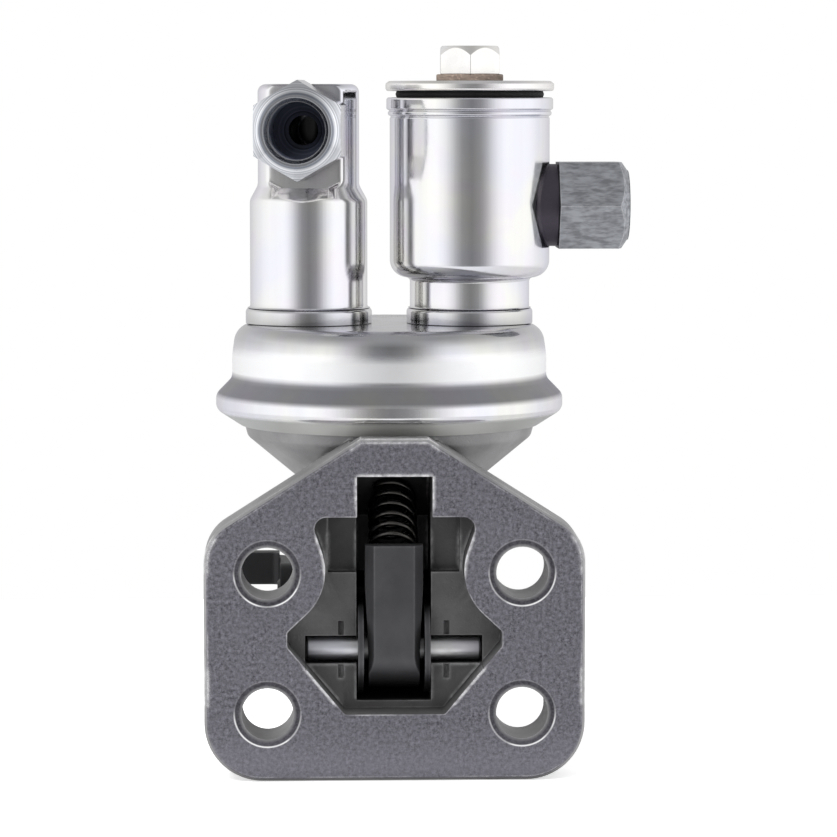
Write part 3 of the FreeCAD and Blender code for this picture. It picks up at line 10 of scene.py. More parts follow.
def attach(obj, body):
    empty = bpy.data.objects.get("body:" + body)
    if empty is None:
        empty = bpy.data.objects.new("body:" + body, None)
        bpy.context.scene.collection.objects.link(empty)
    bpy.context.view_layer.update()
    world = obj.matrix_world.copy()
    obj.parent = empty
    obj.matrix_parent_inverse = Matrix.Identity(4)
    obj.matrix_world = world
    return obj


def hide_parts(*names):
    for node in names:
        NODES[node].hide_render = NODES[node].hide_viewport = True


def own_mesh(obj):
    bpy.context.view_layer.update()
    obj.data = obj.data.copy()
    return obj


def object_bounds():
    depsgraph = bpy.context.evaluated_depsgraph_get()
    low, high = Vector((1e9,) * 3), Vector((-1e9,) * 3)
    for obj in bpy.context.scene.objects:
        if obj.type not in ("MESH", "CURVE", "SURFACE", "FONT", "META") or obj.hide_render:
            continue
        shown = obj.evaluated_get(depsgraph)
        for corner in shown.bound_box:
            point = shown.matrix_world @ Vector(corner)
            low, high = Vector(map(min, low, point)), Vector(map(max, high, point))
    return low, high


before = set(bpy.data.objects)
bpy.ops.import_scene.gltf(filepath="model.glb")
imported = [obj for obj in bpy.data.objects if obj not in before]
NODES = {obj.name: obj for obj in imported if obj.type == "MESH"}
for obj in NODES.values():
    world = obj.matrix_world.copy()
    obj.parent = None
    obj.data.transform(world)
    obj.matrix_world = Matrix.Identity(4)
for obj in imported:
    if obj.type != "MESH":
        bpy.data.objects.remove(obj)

bl_info = {
    "name": "Fuel pump",
    "version": (1, 0, 0),
    "blender": (4, 5, 0),
    "location": "3D View > Sidebar > Fuel pump",
    "description": "Pressed and cast pieces, fittings, springs and finishes of a diaphragm fuel pump",
    "category": "Object",
}

CAD_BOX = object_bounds()
MM = 0.001
PUMP_AXIS = 44.0
TOWER_X = -17.85
CAN_X = 17.85
DOME_TOP = 65.3
PORT_HEIGHT = 108.0
PORT_TURN = math.radians(7.0)
INLET_HEIGHT = 91.4
OUTLET_START = 7.7
INLET_START = 19.5
BOLT_X = 27.0
BOLT_Z = 15.0
ROCKER_TOP = 20.3


# Sizes and colours a user may change

def length(name, description, default):
    return FloatProperty(name=name, description=description, default=default, unit="LENGTH",
                         subtype="DISTANCE", precision=5)


def tone(name, description, default):
    return FloatVectorProperty(name=name, description=description, default=default, subtype="COLOR",
                               size=3, min=0.0, max=1.0)


class ShellSizes(PropertyGroup):
    """Pressed dome and its rolled bead."""
    dome_radius: length("Dome radius", "Radius of the dome's wall at its foot", 0.0349)
    dome_taper: length("Dome taper", "How much the wall leans in up to the top", 0.0010)
    edge_radius: length("Edge radius", "Rounding between wall and top", 0.0042)
    bead_radius: length("Bead radius", "Largest radius of the rolled bead", 0.0385)
    lip_radius: length("Lip radius", "Inner radius of the lip rolled under the rim", 0.0326)


class TubeSizes(PropertyGroup):
    """Outlet tower and strainer can."""
    tower_lower: length("Lower radius", "Radius of the tower's lower barrel", 0.0130)
    tower_upper: length("Upper radius", "Radius of the tower's upper barrel", 0.0112)
    pad_depth: length("Pad depth", "Distance of the pressed flat from the tower's axis", 0.0077)
    pad_radius: length("Pad radius", "Radius of the pressed flat round the port", 0.0152)
    can_radius: length("Can radius", "Radius of the can's wall", 0.0177)
    band_radius: length("Band radius", "Radius of the raised band under the can's rim", 0.0181)


class FittingSizes(PropertyGroup):
    """Hexagon fittings and the cover bolt."""
    flats: length("Across flats", "Width of the hexagons across their flats", 0.0190)
    reach: length("Length", "Length of the hexagons", 0.0156)
    thread_radius: length("Thread radius", "Inner radius of the thread", 0.0062)
    thread_pitch: length("Thread pitch", "Distance from one turn of the thread to the next", 0.0015)
    bolt_flats: length("Bolt across flats", "Width of the cover bolt's head", 0.0130)


class FinishColours(PropertyGroup):
    """Colours of the finishes."""
    casting: tone("Casting", "Grey of the as-cast skin", (0.390, 0.385, 0.392))
    sanded: tone("Sanded face", "Grey of the sanded mounting face", (0.170, 0.166, 0.192))
    plating: tone("Plating", "Silver of the plated pressings", (0.790, 0.797, 0.806))
    cover: tone("Cover plating", "Silver of the cover and its bolt", (0.860, 0.850, 0.835))
    fitting: tone("Fitting steel", "Grey of the blasted inlet fitting", (0.455, 0.470, 0.500))
    dark: tone("Dark steel", "Grey of the blackened levers", (0.088, 0.088, 0.094))
    fibre: tone("Fibre", "Brown of the fibre washer", (0.255, 0.200, 0.165))
    rubber: tone("Rubber", "Black of gasket and seal", (0.018, 0.018, 0.019))


class StudioSettings(PropertyGroup):
    """Light, floor and camera."""
    diffuse_level: FloatProperty(name="Room level", description="Plain light from all sides", default=0.62,
                                 min=0.0, max=3.0)
    key_power: FloatProperty(name="Key power", description="Power of the soft lamp above, in watts",
                             default=7.0, min=0.0)
    floor_tone: tone("Floor", "Colour of the floor", (0.90, 0.90, 0.90))
    show_floor: BoolProperty(name="Floor", description="Lay a plain floor under the part", default=True)
    segments: IntProperty(name="Segments", description="Steps round each turned piece", default=192, min=48)


# Mesh helpers, with sizes in millimetres

def rounded(corners, step=6.0):
    """Points of a closed profile, with an arc at each corner that has a radius."""
    points = []
    count = len(corners)
    for i, corner in enumerate(corners):
        here = Vector(corner[:2])
        if len(corner) < 3 or corner[2] <= 0:
            points.append(here)
            continue
        back = (Vector(corners[i - 1][:2]) - here).normalized()
        ahead = (Vector(corners[(i + 1) % count][:2]) - here).normalized()
        half = back.angle(ahead) / 2
        centre = here + (back + ahead).normalized() * corner[2] / math.sin(half)
        start = here + back * corner[2] / math.tan(half) - centre
        end = here + ahead * corner[2] / math.tan(half) - centre
        first = math.atan2(start.y, start.x)
        sweep = (math.atan2(end.y, end.x) - first + math.pi) % math.tau - math.pi
        steps = max(2, math.ceil(abs(math.degrees(sweep)) / step))
        for k in range(steps + 1):
            angle = first + sweep * k / steps
            points.append(centre + Vector((math.cos(angle), math.sin(angle))) * corner[2])
    return points


def placed(name, data):
    """Make an object and put it in the scene."""
    made = bpy.data.objects.new(name, data)
    bpy.context.scene.collection.objects.link(made)
    return made


def finished(name, bm, sharp=32.0):
    """Close seams and poles, point the faces outwards and shade smooth up to sharp edges."""
    bmesh.ops.remove_doubles(bm, verts=bm.verts, dist=1e-6)
    bmesh.ops.dissolve_degenerate(bm, edges=bm.edges, dist=1e-7)
    bmesh.ops.recalc_face_normals(bm, faces=bm.faces)
    mesh = bpy.data.meshes.new(name)
    bm.to_mesh(mesh)
    bm.free()
    mesh.shade_smooth()
    mesh.set_sharp_from_angle(angle=math.radians(sharp))
    return placed(name, mesh)


def columns_to_mesh(name, columns, place=None, sharp=32.0):
    """Join closed columns of points, one for each step round an axis, into one skin."""
    bm = bmesh.new()
    place = place or Matrix.Identity(4)
    rings = [[bm.verts.new((place @ point) * MM) for point in column] for column in columns]
    for k, ring in enumerate(rings):
        following = rings[(k + 1) % len(rings)]
        for i in range(len(ring)):
            j = (i + 1) % len(ring)
            bm.faces.new((ring[i], following[i], following[j], ring[j]))
    return finished(name, bm, sharp)


def lathe(name, corners, x, press=None, sharp=32.0):
    """Turn a profile of (radius, height) about the upright axis at x over the pump's middle."""
    outline = rounded(corners)
    steps = bpy.context.scene.pump_studio.segments
    columns = []
    for k in range(steps):
        angle = math.tau * k / steps
        column = [Vector((r * math.cos(angle), r * math.sin(angle), z)) for r, z in outline]
        columns.append([press(point) for point in column] if press else column)
    return columns_to_mesh(name, columns, Matrix.Translation((x, PUMP_AXIS, 0)), sharp)


def apply_modifiers(made):
    """Turn an object's modifiers into plain mesh."""
    graph = bpy.context.evaluated_depsgraph_get()
    mesh = bpy.data.meshes.new_from_object(made.evaluated_get(graph))
    made.modifiers.clear()
    made.data = mesh
    return made


def soften(made, width, segments=2, angle=30.0):
    """Round the edges a little, as tumbling and handling do."""
    bevel = made.modifiers.new("soft_edges", "BEVEL")
    bevel.width = width * MM
    bevel.segments = segments
    bevel.limit_method = "ANGLE"
    bevel.angle_limit = math.radians(angle)
    bevel.harden_normals = True
    return apply_modifiers(made)


def copy_of_node(name, node, sharp=30.0):
    """Copy a CAD node's triangles, merged and with its flat faces joined."""
    bm = bmesh.new()
    bm.from_mesh(NODES[node].data)
    bmesh.ops.remove_doubles(bm, verts=bm.verts, dist=2e-6)
    bmesh.ops.dissolve_limit(bm, angle_limit=math.radians(0.6), verts=bm.verts, edges=bm.edges)
    return finished(name, bm, sharp)


def cut_above(made, height):
    """Cut off what stands above a height in millimetres and close the cut."""
    bm = bmesh.new()
    bm.from_mesh(made.data)
    cut = bmesh.ops.bisect_plane(bm, geom=[*bm.verts, *bm.edges, *bm.faces], plane_co=(0, 0, height * MM),
                                 plane_no=(0, 0, 1), clear_outer=True)
    rim = [part for part in cut["geom_cut"] if isinstance(part, bmesh.types.BMEdge)]
    bmesh.ops.contextual_create(bm, geom=rim)
    bmesh.ops.recalc_face_normals(bm, faces=bm.faces)
    bm.to_mesh(made.data)
    bm.free()


def drill_hole(made, start, direction, radius, depth):
    """Cut a round hole, its start and size in millimetres."""
    bpy.ops.mesh.primitive_cylinder_add(vertices=96, radius=radius * MM, depth=depth * MM)
    cutter = bpy.context.object
    aim = Vector(direction).normalized()
    middle = (Vector(start) + aim * depth / 2) * MM
    cutter.data.transform(Matrix.Translation(middle) @ aim.to_track_quat("Z", "Y").to_matrix().to_4x4())
    cut = made.modifiers.new("hole", "BOOLEAN")
    cut.operation = "DIFFERENCE"
    cut.object = cutter
    cut.solver = "EXACT"
    apply_modifiers(made)
    bpy.data.objects.remove(cutter)


def fit(made, body, slot, *nodes):
    """Give a piece its finish and its body, and let it stand for its CAD nodes."""
    made.data.materials.clear()
    made.data.materials.append(bpy.data.materials["finish_" + slot])
    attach(made, body)
    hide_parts(*nodes)


# Node helpers

def add(tree, kind, settings=None, **inputs):
    """Add one node, set its properties and fill or link its inputs."""
    made = tree.nodes.new(kind)
    for key, value in (settings or {}).items():
        setattr(made, key, value)
    for key, value in inputs.items():
        socket = made.inputs[int(key[1:]) if key[0] == "i" and key[1:].isdigit() else key]
        if isinstance(value, bpy.types.NodeSocket):
            tree.links.new(value, socket)
        else:
            socket.default_value = value
    return made


def new_group(name, kind, inputs, outputs):
    """Start a node group with named sockets, and return its tree, inputs and outputs."""
    tree = bpy.data.node_groups.new(name, kind)
    for socket, socket_type, default in inputs:
        made = tree.interface.new_socket(socket, in_out="INPUT", socket_type=socket_type)
        if default is not None:
            made.default_value = default
    for socket, socket_type in outputs:
        tree.interface.new_socket(socket, in_out="OUTPUT", socket_type=socket_type)
    return tree, tree.nodes.new("NodeGroupInput").outputs, tree.nodes.new("NodeGroupOutput").inputs


def maths(tree, operation, first, second=0.0):
    return add(tree, "ShaderNodeMath", {"operation": operation}, i0=first, i1=second).outputs[0]


def times(tree, first, second):
    return maths(tree, "MULTIPLY", first, second)


def vectors(tree, operation, first, second=(0.0, 0.0, 0.0)):
    """Vector maths; lengths and dot products come out as plain values."""
    made = add(tree, "ShaderNodeVectorMath", {"operation": operation}, i0=first, i1=second)
    return made.outputs["Value" if operation in ("LENGTH", "DOT_PRODUCT") else 0]


def axes(tree, vector):
    """Split a place into its three coordinates."""
    return add(tree, "ShaderNodeSeparateXYZ", {}, Vector=vector).outputs


def ramp(tree, value, low, high, start=0.0, end=1.0):
    """Map a value from one range to another, held at the ends."""
    made = add(tree, "ShaderNodeMapRange", {}, **{"Value": value, "From Min": low, "From Max": high,
                                                 "To Min": start, "To Max": end})
    return made.outputs[0]


def between(tree, value, low, full, fading, high):
    """Mask of a range of values, with soft ends."""
    return times(tree, ramp(tree, value, low, full), ramp(tree, value, high, fading))


def blend(tree, factor, first, second):
    """Mix two plain values."""
    return add(tree, "ShaderNodeMix", {"data_type": "FLOAT"}, i0=factor, i2=first, i3=second).outputs[0]


def mixed(tree, factor, first, second, blend="MIX"):
    """Mix two colours."""
    return add(tree, "ShaderNodeMix", {"data_type": "RGBA", "blend_type": blend},
               i0=factor, i6=first, i7=second).outputs[2]


def tinted(tree, first, second):
    """Multiply two colours."""
    return mixed(tree, 1.0, first, second, "MULTIPLY")


def stretched(tree, vector, scale):
    """Scale a place differently along each axis."""
    return add(tree, "ShaderNodeMapping", {}, Vector=vector, Scale=scale).outputs[0]


def noise(tree, vector, scale, detail=3.0, roughness=0.55):
    return add(tree, "ShaderNodeTexNoise", {}, Vector=vector, Scale=scale, Detail=detail,
               Roughness=roughness).outputs[0]


FLOAT, COLOUR, VECTOR = "NodeSocketFloat", "NodeSocketColor", "NodeSocketVector"


def make_cast_grain():
    """Die-cast skin: fine pits, soft flow marks and uneven brightness."""
    tree, take, give = new_group(
        "Cast Grain", "ShaderNodeTree",
        [("Vector", VECTOR, None), ("Scale", FLOAT, 900.0), ("Depth", FLOAT, 1.0)],
        [("Height", FLOAT), ("Tone", FLOAT)])
    fine = noise(tree, take["Vector"], take["Scale"], 4.0, 0.6)
    broad = noise(tree, take["Vector"], times(tree, take["Scale"], 0.06), 3.0)
    cells = add(tree, "ShaderNodeTexVoronoi", {}, Vector=take["Vector"],
                Scale=times(tree, take["Scale"], 0.9)).outputs["Distance"]
    pits = ramp(tree, cells, 0.05, 0.35)
    height = maths(tree, "ADD", times(tree, fine, 0.7), times(tree, pits, 0.3))
    tree.links.new(times(tree, height, take["Depth"]), give["Height"])
    tree.links.new(ramp(tree, broad, 0.3, 0.7), give["Tone"])


def make_fine_scratches():
    """Long fine scratches and drawing streaks along one direction."""
    tree, take, give = new_group(
        "Fine Scratches", "ShaderNodeTree",
        [("Vector", VECTOR, None), ("Across", FLOAT, 4000.0), ("Along", FLOAT, 40.0)],
        [("Height", FLOAT), ("Tone", FLOAT)])
    spread = add(tree, "ShaderNodeCombineXYZ", {}, X=take["Across"], Y=take["Across"], Z=take["Along"])
    place = vectors(tree, "MULTIPLY", take["Vector"], spread.outputs[0])
    fine = noise(tree, place, 1.0, 2.0, 0.7)
    wide = noise(tree, place, 0.17, 2.0, 0.5)
    tree.links.new(fine, give["Height"])
    tree.links.new(ramp(tree, wide, 0.32, 0.68), give["Tone"])


def make_edge_wear_and_highlight():
    """Mask of outer edges, where handling brightens the metal, with painted highlights along them."""
    tree, take, give = new_group(
        "Edge Wear And Highlight", "ShaderNodeTree",
        [("Vector", VECTOR, None), ("Width", FLOAT, 0.0004), ("Breakup", FLOAT, 700.0)],
        [("Mask", FLOAT)])
    soft = add(tree, "ShaderNodeBevel", {"samples": 6}, Radius=take["Width"]).outputs[0]
    plain = add(tree, "ShaderNodeNewGeometry").outputs["Normal"]
    edge = ramp(tree, vectors(tree, "DOT_PRODUCT", soft, plain), 0.995, 0.93)
    patchy = ramp(tree, noise(tree, take["Vector"], take["Breakup"], 2.0), 0.3, 0.6, 0.35, 1.0)
    tree.links.new(times(tree, edge, patchy), give["Mask"])


def make_recess_shade():
    """Painted shade: darken bores, corners and the gaps between pieces, where little light reaches."""
    tree, take, give = new_group(
        "Recess Shade", "ShaderNodeTree",
        [("Reach", FLOAT, 0.010), ("Floor", FLOAT, 0.3)], [("Shade", FLOAT)])
    open_sky = add(tree, "ShaderNodeAmbientOcclusion", {"samples": 6}, Distance=take["Reach"]).outputs["AO"]
    made = add(tree, "ShaderNodeMapRange", {"interpolation_type": "SMOOTHSTEP"}, **{
        "Value": open_sky, "From Min": 0.10, "From Max": 0.80, "To Min": take["Floor"], "To Max": 1.0})
    tree.links.new(made.outputs[0], give["Shade"])


def make_axis_mask():
    """Mask of what lies within a radius of an axis, and how far along the axis it lies."""
    tree, take, give = new_group(
        "Axis Mask", "ShaderNodeTree",
        [("Vector", VECTOR, None), ("Centre", VECTOR, None), ("Aim", VECTOR, None),
         ("Radius", FLOAT, 0.007)],
        [("Mask", FLOAT), ("Along", FLOAT), ("Radius", FLOAT)])
    offset = vectors(tree, "SUBTRACT", take["Vector"], take["Centre"])
    radius = vectors(tree, "LENGTH", vectors(tree, "CROSS_PRODUCT", offset, take["Aim"]))
    beyond = maths(tree, "SUBTRACT", radius, take["Radius"])
    tree.links.new(ramp(tree, beyond, 0.0002, -0.0002), give["Mask"])
    tree.links.new(vectors(tree, "DOT_PRODUCT", offset, take["Aim"]), give["Along"])
    tree.links.new(radius, give["Radius"])


def make_plating_tint():
    """Faint blue, violet and straw clouds of clear passivation on zinc."""
    tree, take, give = new_group(
        "Plating Tint", "ShaderNodeTree",
        [("Vector", VECTOR, None), ("Colour", COLOUR, (0.8, 0.8, 0.8, 1.0)), ("Strength", FLOAT, 0.5),
         ("Scale", FLOAT, 60.0)],
        [("Colour", COLOUR)])
    first = noise(tree, take["Vector"], take["Scale"], 2.0, 0.5)
    second = noise(tree, take["Vector"], times(tree, take["Scale"], 2.3), 2.0, 0.5)
    cool = mixed(tree, ramp(tree, first, 0.42, 0.62), (1.0, 0.985, 0.94, 1.0), (0.93, 0.93, 1.0, 1.0))
    tint = mixed(tree, ramp(tree, second, 0.5, 0.68, 0.0, 0.6), cool, (0.97, 0.90, 0.98, 1.0))
    whole = tinted(tree, take["Colour"], tint)
    tree.links.new(mixed(tree, take["Strength"], take["Colour"], whole), give["Colour"])


def make_weave():
    """Plain weave in two directions across the part's Z axis."""
    tree, take, give = new_group(
        "Weave", "ShaderNodeTree",
        [("Vector", VECTOR, None), ("Threads", FLOAT, 1500.0)],
        [("Height", FLOAT), ("Tone", FLOAT)])
    parts = axes(tree, take["Vector"])
    pace = times(tree, take["Threads"], math.pi)
    waves = [maths(tree, "SINE", times(tree, parts[axis], pace)) for axis in ("X", "Y")]
    crossed = times(tree, waves[0], waves[1])
    tree.links.new(maths(tree, "ABSOLUTE", crossed), give["Height"])
    tree.links.new(ramp(tree, crossed, -1.0, 1.0), give["Tone"])


def use(tree, name, **inputs):
    """Place a shader group."""
    made = tree.nodes.new("ShaderNodeGroup")
    made.node_tree = bpy.data.node_groups[name]
    for key, value in inputs.items():
        if isinstance(value, bpy.types.NodeSocket):
            tree.links.new(value, made.inputs[key])
        else:
            made.inputs[key].default_value = value
    return made.outputs


class Finish:
    """One procedural material, with its shader and the piece's own coordinates."""

    def __init__(self, name):
        self.material = bpy.data.materials.new("finish_" + name)
        self.material.use_nodes = True
        self.tree = self.material.node_tree
        self.tree.nodes.clear()
        self.shader = self.tree.nodes.new("ShaderNodeBsdfPrincipled")
        output = self.tree.nodes.new("ShaderNodeOutputMaterial")
        self.tree.links.new(self.shader.outputs[0], output.inputs["Surface"])
        self.place = self.tree.nodes.new("ShaderNodeTexCoord").outputs["Object"]

    def set(self, **values):
        for key, value in values.items():
            socket = self.shader.inputs[key.replace("_", " ")]
            if isinstance(value, bpy.types.NodeSocket):
                self.tree.links.new(value, socket)
            else:
                socket.default_value = value

    def bump(self, height, distance, strength=1.0):
        made = add(self.tree, "ShaderNodeBump", {}, Height=height, Distance=distance, Strength=strength)
        self.set(Normal=made.outputs[0])

    def source(self, name):
        """What feeds one of the shader's inputs."""
        return self.shader.inputs[name].links[0].from_socket


def rgba(colour, factor=1.0):
    return (colour[0] * factor, colour[1] * factor, colour[2] * factor, 1.0)


# Finishes, one for each material slot

def hole_rings(tree, parts):
    """Masks of the bolt holes' mouths, where shade is painted, and of the painted highlight line round each.
    """
    across = maths(tree, "SUBTRACT", maths(tree, "ABSOLUTE", parts["X"]), BOLT_X * MM)
    up = maths(tree, "SUBTRACT", maths(tree, "ABSOLUTE", parts["Z"]), BOLT_Z * MM)
    radius = vectors(tree, "LENGTH", add(tree, "ShaderNodeCombineXYZ", {}, X=across, Y=up).outputs[0])
    front = ramp(tree, parts["Y"], 0.0040, 0.0030)
    mouth = times(tree, ramp(tree, radius, 0.00705, 0.00690), front)
    line = between(tree, radius, 0.00680, 0.00700, 0.00712, 0.00730)
    # Painted highlight: the line is brighter below each hole's middle.
    middle = times(tree, maths(tree, "SIGN", parts["Z"]), BOLT_Z * MM)
    level = maths(tree, "SUBTRACT", parts["Z"], middle)
    line = times(tree, line, ramp(tree, level, 0.0012, -0.0016, 0.12, 1.0))
    return mouth, times(tree, line, front)


def turned_rings(tree, radius):
    """Uneven rings round an axis, as a turning tool leaves them."""
    spot = add(tree, "ShaderNodeCombineXYZ", {}, X=radius).outputs[0]
    return ramp(tree, noise(tree, spot, 2600.0, 2.0, 0.6), 0.36, 0.64)


def painted_bore_shade(finish, centre, aim, mouth, depth):
    """Painted shade of a threaded bore: dark colour with its turned rings, black in the passage, and less
    metal, laid over the finish.
    """
    tree = finish.tree
    found = use(tree, "Axis Mask", Vector=finish.place, Centre=centre, Aim=aim, Radius=0.0067)
    foot = mouth - depth
    passage = ramp(tree, found["Radius"], 0.0037, 0.0034)
    thread = maths(tree, "MAXIMUM", passage, ramp(tree, found["Along"], foot + 0.0042, foot + 0.0044))
    long = between(tree, found["Along"], foot, foot + 0.0002, mouth - 0.0018, mouth - 0.0012)
    inside = times(tree, found["Mask"], times(tree, thread, long))
    rings = turned_rings(tree, found["Radius"])
    # Painted shade: dark wall colour inside the bore, black in the passage.
    wall = mixed(tree, rings, (0.030, 0.034, 0.052, 1.0), (0.130, 0.142, 0.200, 1.0))
    wall = mixed(tree, ramp(tree, found["Radius"], 0.0034, 0.0031), wall, (0.006, 0.006, 0.007, 1.0))
    metal = finish.shader.inputs["Metallic"].default_value
    kept = maths(tree, "SUBTRACT", 1.0, times(tree, inside, 0.75))
    finish.set(Base_Color=mixed(tree, inside, finish.source("Base Color"), wall),
               Metallic=times(tree, metal, kept))
    return found


def highlight_zones(tree, parts):
    """Mask of the window's flanks, the slot's upper edges and the lower slopes, where the painted edge
    highlights are strongest.
    """
    aside = maths(tree, "ABSOLUTE", parts["X"])
    flanks = between(tree, parts["Z"], 0.0130, 0.0155, 0.0220, 0.0240)
    upper = times(tree, ramp(tree, parts["Z"], 0.0275, 0.0290), ramp(tree, aside, 0.0100, 0.0092))
    lower = between(tree, parts["Z"], -0.0140, -0.0130, -0.0060, -0.0040)
    return maths(tree, "MAXIMUM", maths(tree, "MAXIMUM", flanks, upper), lower)


def window_mask(tree, parts):
    """Mask of the window and slot behind the mounting face, from the part's own coordinates."""
    aside = maths(tree, "ABSOLUTE", parts["X"])
    waist = ramp(tree, maths(tree, "ABSOLUTE", parts["Z"]), 0.008, 0.009, 0.0238, 0.0208)
    above = ramp(tree, parts["Z"], 0.0270, 0.0275)
    limit = blend(tree, above, waist, 0.0083)
    inside = ramp(tree, maths(tree, "SUBTRACT", aside, limit), 0.0002, -0.0002)
    pocket = times(tree, inside, ramp(tree, parts["Y"], 0.0119, 0.0116))
    reach = PUMP_AXIS * MM + 0.0093
    cavity = times(tree, ramp(tree, aside, 0.0084, 0.0082), ramp(tree, parts["Z"], -0.0141, -0.0139))
    cavity = times(tree, cavity, ramp(tree, parts["Y"], reach + 0.0002, reach))
    below = ramp(tree, parts["Z"], 0.0362, 0.0358)
    return times(tree, maths(tree, "MAXIMUM", pocket, cavity), below)


def finish_cast_aluminium(colours):
    finish = Finish("cast_aluminium")
    tree, place = finish.tree, finish.place
    cast = use(tree, "Cast Grain", Vector=place, Scale=1500.0)
    parts = axes(tree, place)
    faced = ramp(tree, parts["Y"], 0.00035, 0.00015)
    speck = ramp(tree, noise(tree, place, 1250.0, 4.0, 0.85), 0.37, 0.63)
    sanding = use(tree, "Fine Scratches", Vector=place, Across=1700.0, Along=900.0)
    skin = mixed(tree, cast["Tone"], rgba(colours.casting, 0.80), rgba(colours.casting, 1.14))
    face = mixed(tree, speck, rgba(colours.sanded, 0.40), rgba(colours.sanded, 1.74))
    face = mixed(tree, times(tree, sanding["Tone"], 0.4), face, rgba(colours.sanded, 1.2))
    mouth, line = hole_rings(tree, parts)
    # Painted shade inside the bolt holes' mouths.
    rim = mixed(tree, speck, rgba(colours.sanded, 0.30), rgba(colours.sanded, 0.70))
    face = mixed(tree, mouth, face, rim)
    face = mixed(tree, ramp(tree, parts["Z"], -0.017, -0.026, 0.0, 0.30), face, rgba(colours.sanded, 2.1))
    body = mixed(tree, faced, skin, face)
    # Painted shade: the casting darker the deeper it lies behind the mounting face inside the window and
    # slot, and in recesses.
    depth = times(tree, ramp(tree, parts["Y"], 0.0004, 0.0088, 1.0, 0.40),
                  ramp(tree, parts["Y"], 0.0095, 0.0120, 1.0, 0.50))
    window = window_mask(tree, parts)
    pocket_shade = blend(tree, window, 1.0, depth)
    shade = use(tree, "Recess Shade", Reach=0.006, Floor=0.50)["Shade"]
    body = tinted(tree, body, times(tree, pocket_shade, shade))
    # Rubbed edges with painted highlights: strongest in the highlight zones and along the painted highlight
    # line round the bolt holes, weaker inside the holes and the window.
    patches = ramp(tree, noise(tree, place, 120.0, 1.0), 0.42, 0.58, 0.10, 0.60)
    zones = highlight_zones(tree, parts)
    width = ramp(tree, zones, 0.0, 1.0, 0.00055, 0.0013)
    wear_and_highlight = times(tree, use(tree, "Edge Wear And Highlight", Vector=place, Width=width)["Mask"],
                 maths(tree, "MAXIMUM", patches, zones))
    hidden = times(tree, window, ramp(tree, parts["Y"], 0.0008, 0.0020))
    kept = maths(tree, "SUBTRACT", 1.0, maths(tree, "MAXIMUM", times(tree, mouth, 0.85),
                                              times(tree, hidden, 0.70)))
    wear_and_highlight = times(tree, wear_and_highlight, kept)
    wear_and_highlight = maths(tree, "MAXIMUM", wear_and_highlight, times(tree, line, ramp(tree, patches, 0.1, 0.4, 0.45, 1.0)))
    base = mixed(tree, times(tree, wear_and_highlight, 0.95), body, (0.92, 0.92, 0.93, 1.0))
    rough = ramp(tree, cast["Height"], 0.2, 0.8, 0.42, 0.60)
    rough = maths(tree, "SUBTRACT", rough, times(tree, wear_and_highlight, 0.16))
    height = blend(tree, faced, cast["Height"], times(tree, speck, 0.30))
    finish.set(Base_Color=base, Metallic=maths(tree, "SUBTRACT", 0.85, times(tree, wear_and_highlight, 0.60)),
               Roughness=rough)
    finish.bump(height, 0.00012, 0.8)


def finish_plating(slot, colour, strength, rough, along=24.0, scratch=0.25, floor=0.22):
    """Bright plated steel with faint clouds of colour and drawing streaks."""
    finish = Finish(slot)
    tree, place = finish.tree, finish.place
    base = use(tree, "Plating Tint", Vector=place, Colour=rgba(colour), Strength=strength)["Colour"]
    streaks = use(tree, "Fine Scratches", Vector=place, Across=2400.0, Along=along)
    base = mixed(tree, ramp(tree, streaks["Tone"], 0.0, 1.0, 0.0, 0.12), base, rgba(colour, 0.70))
    shade = use(tree, "Recess Shade", Reach=0.005, Floor=floor)["Shade"]
    patches = noise(tree, place, 180.0, 3.0)
    finish.set(Base_Color=tinted(tree, base, shade), Metallic=1.0,
               Roughness=ramp(tree, patches, 0.3, 0.7, rough * 0.8, rough * 1.35))
    finish.bump(streaks["Height"], 0.00002, scratch)
    return finish


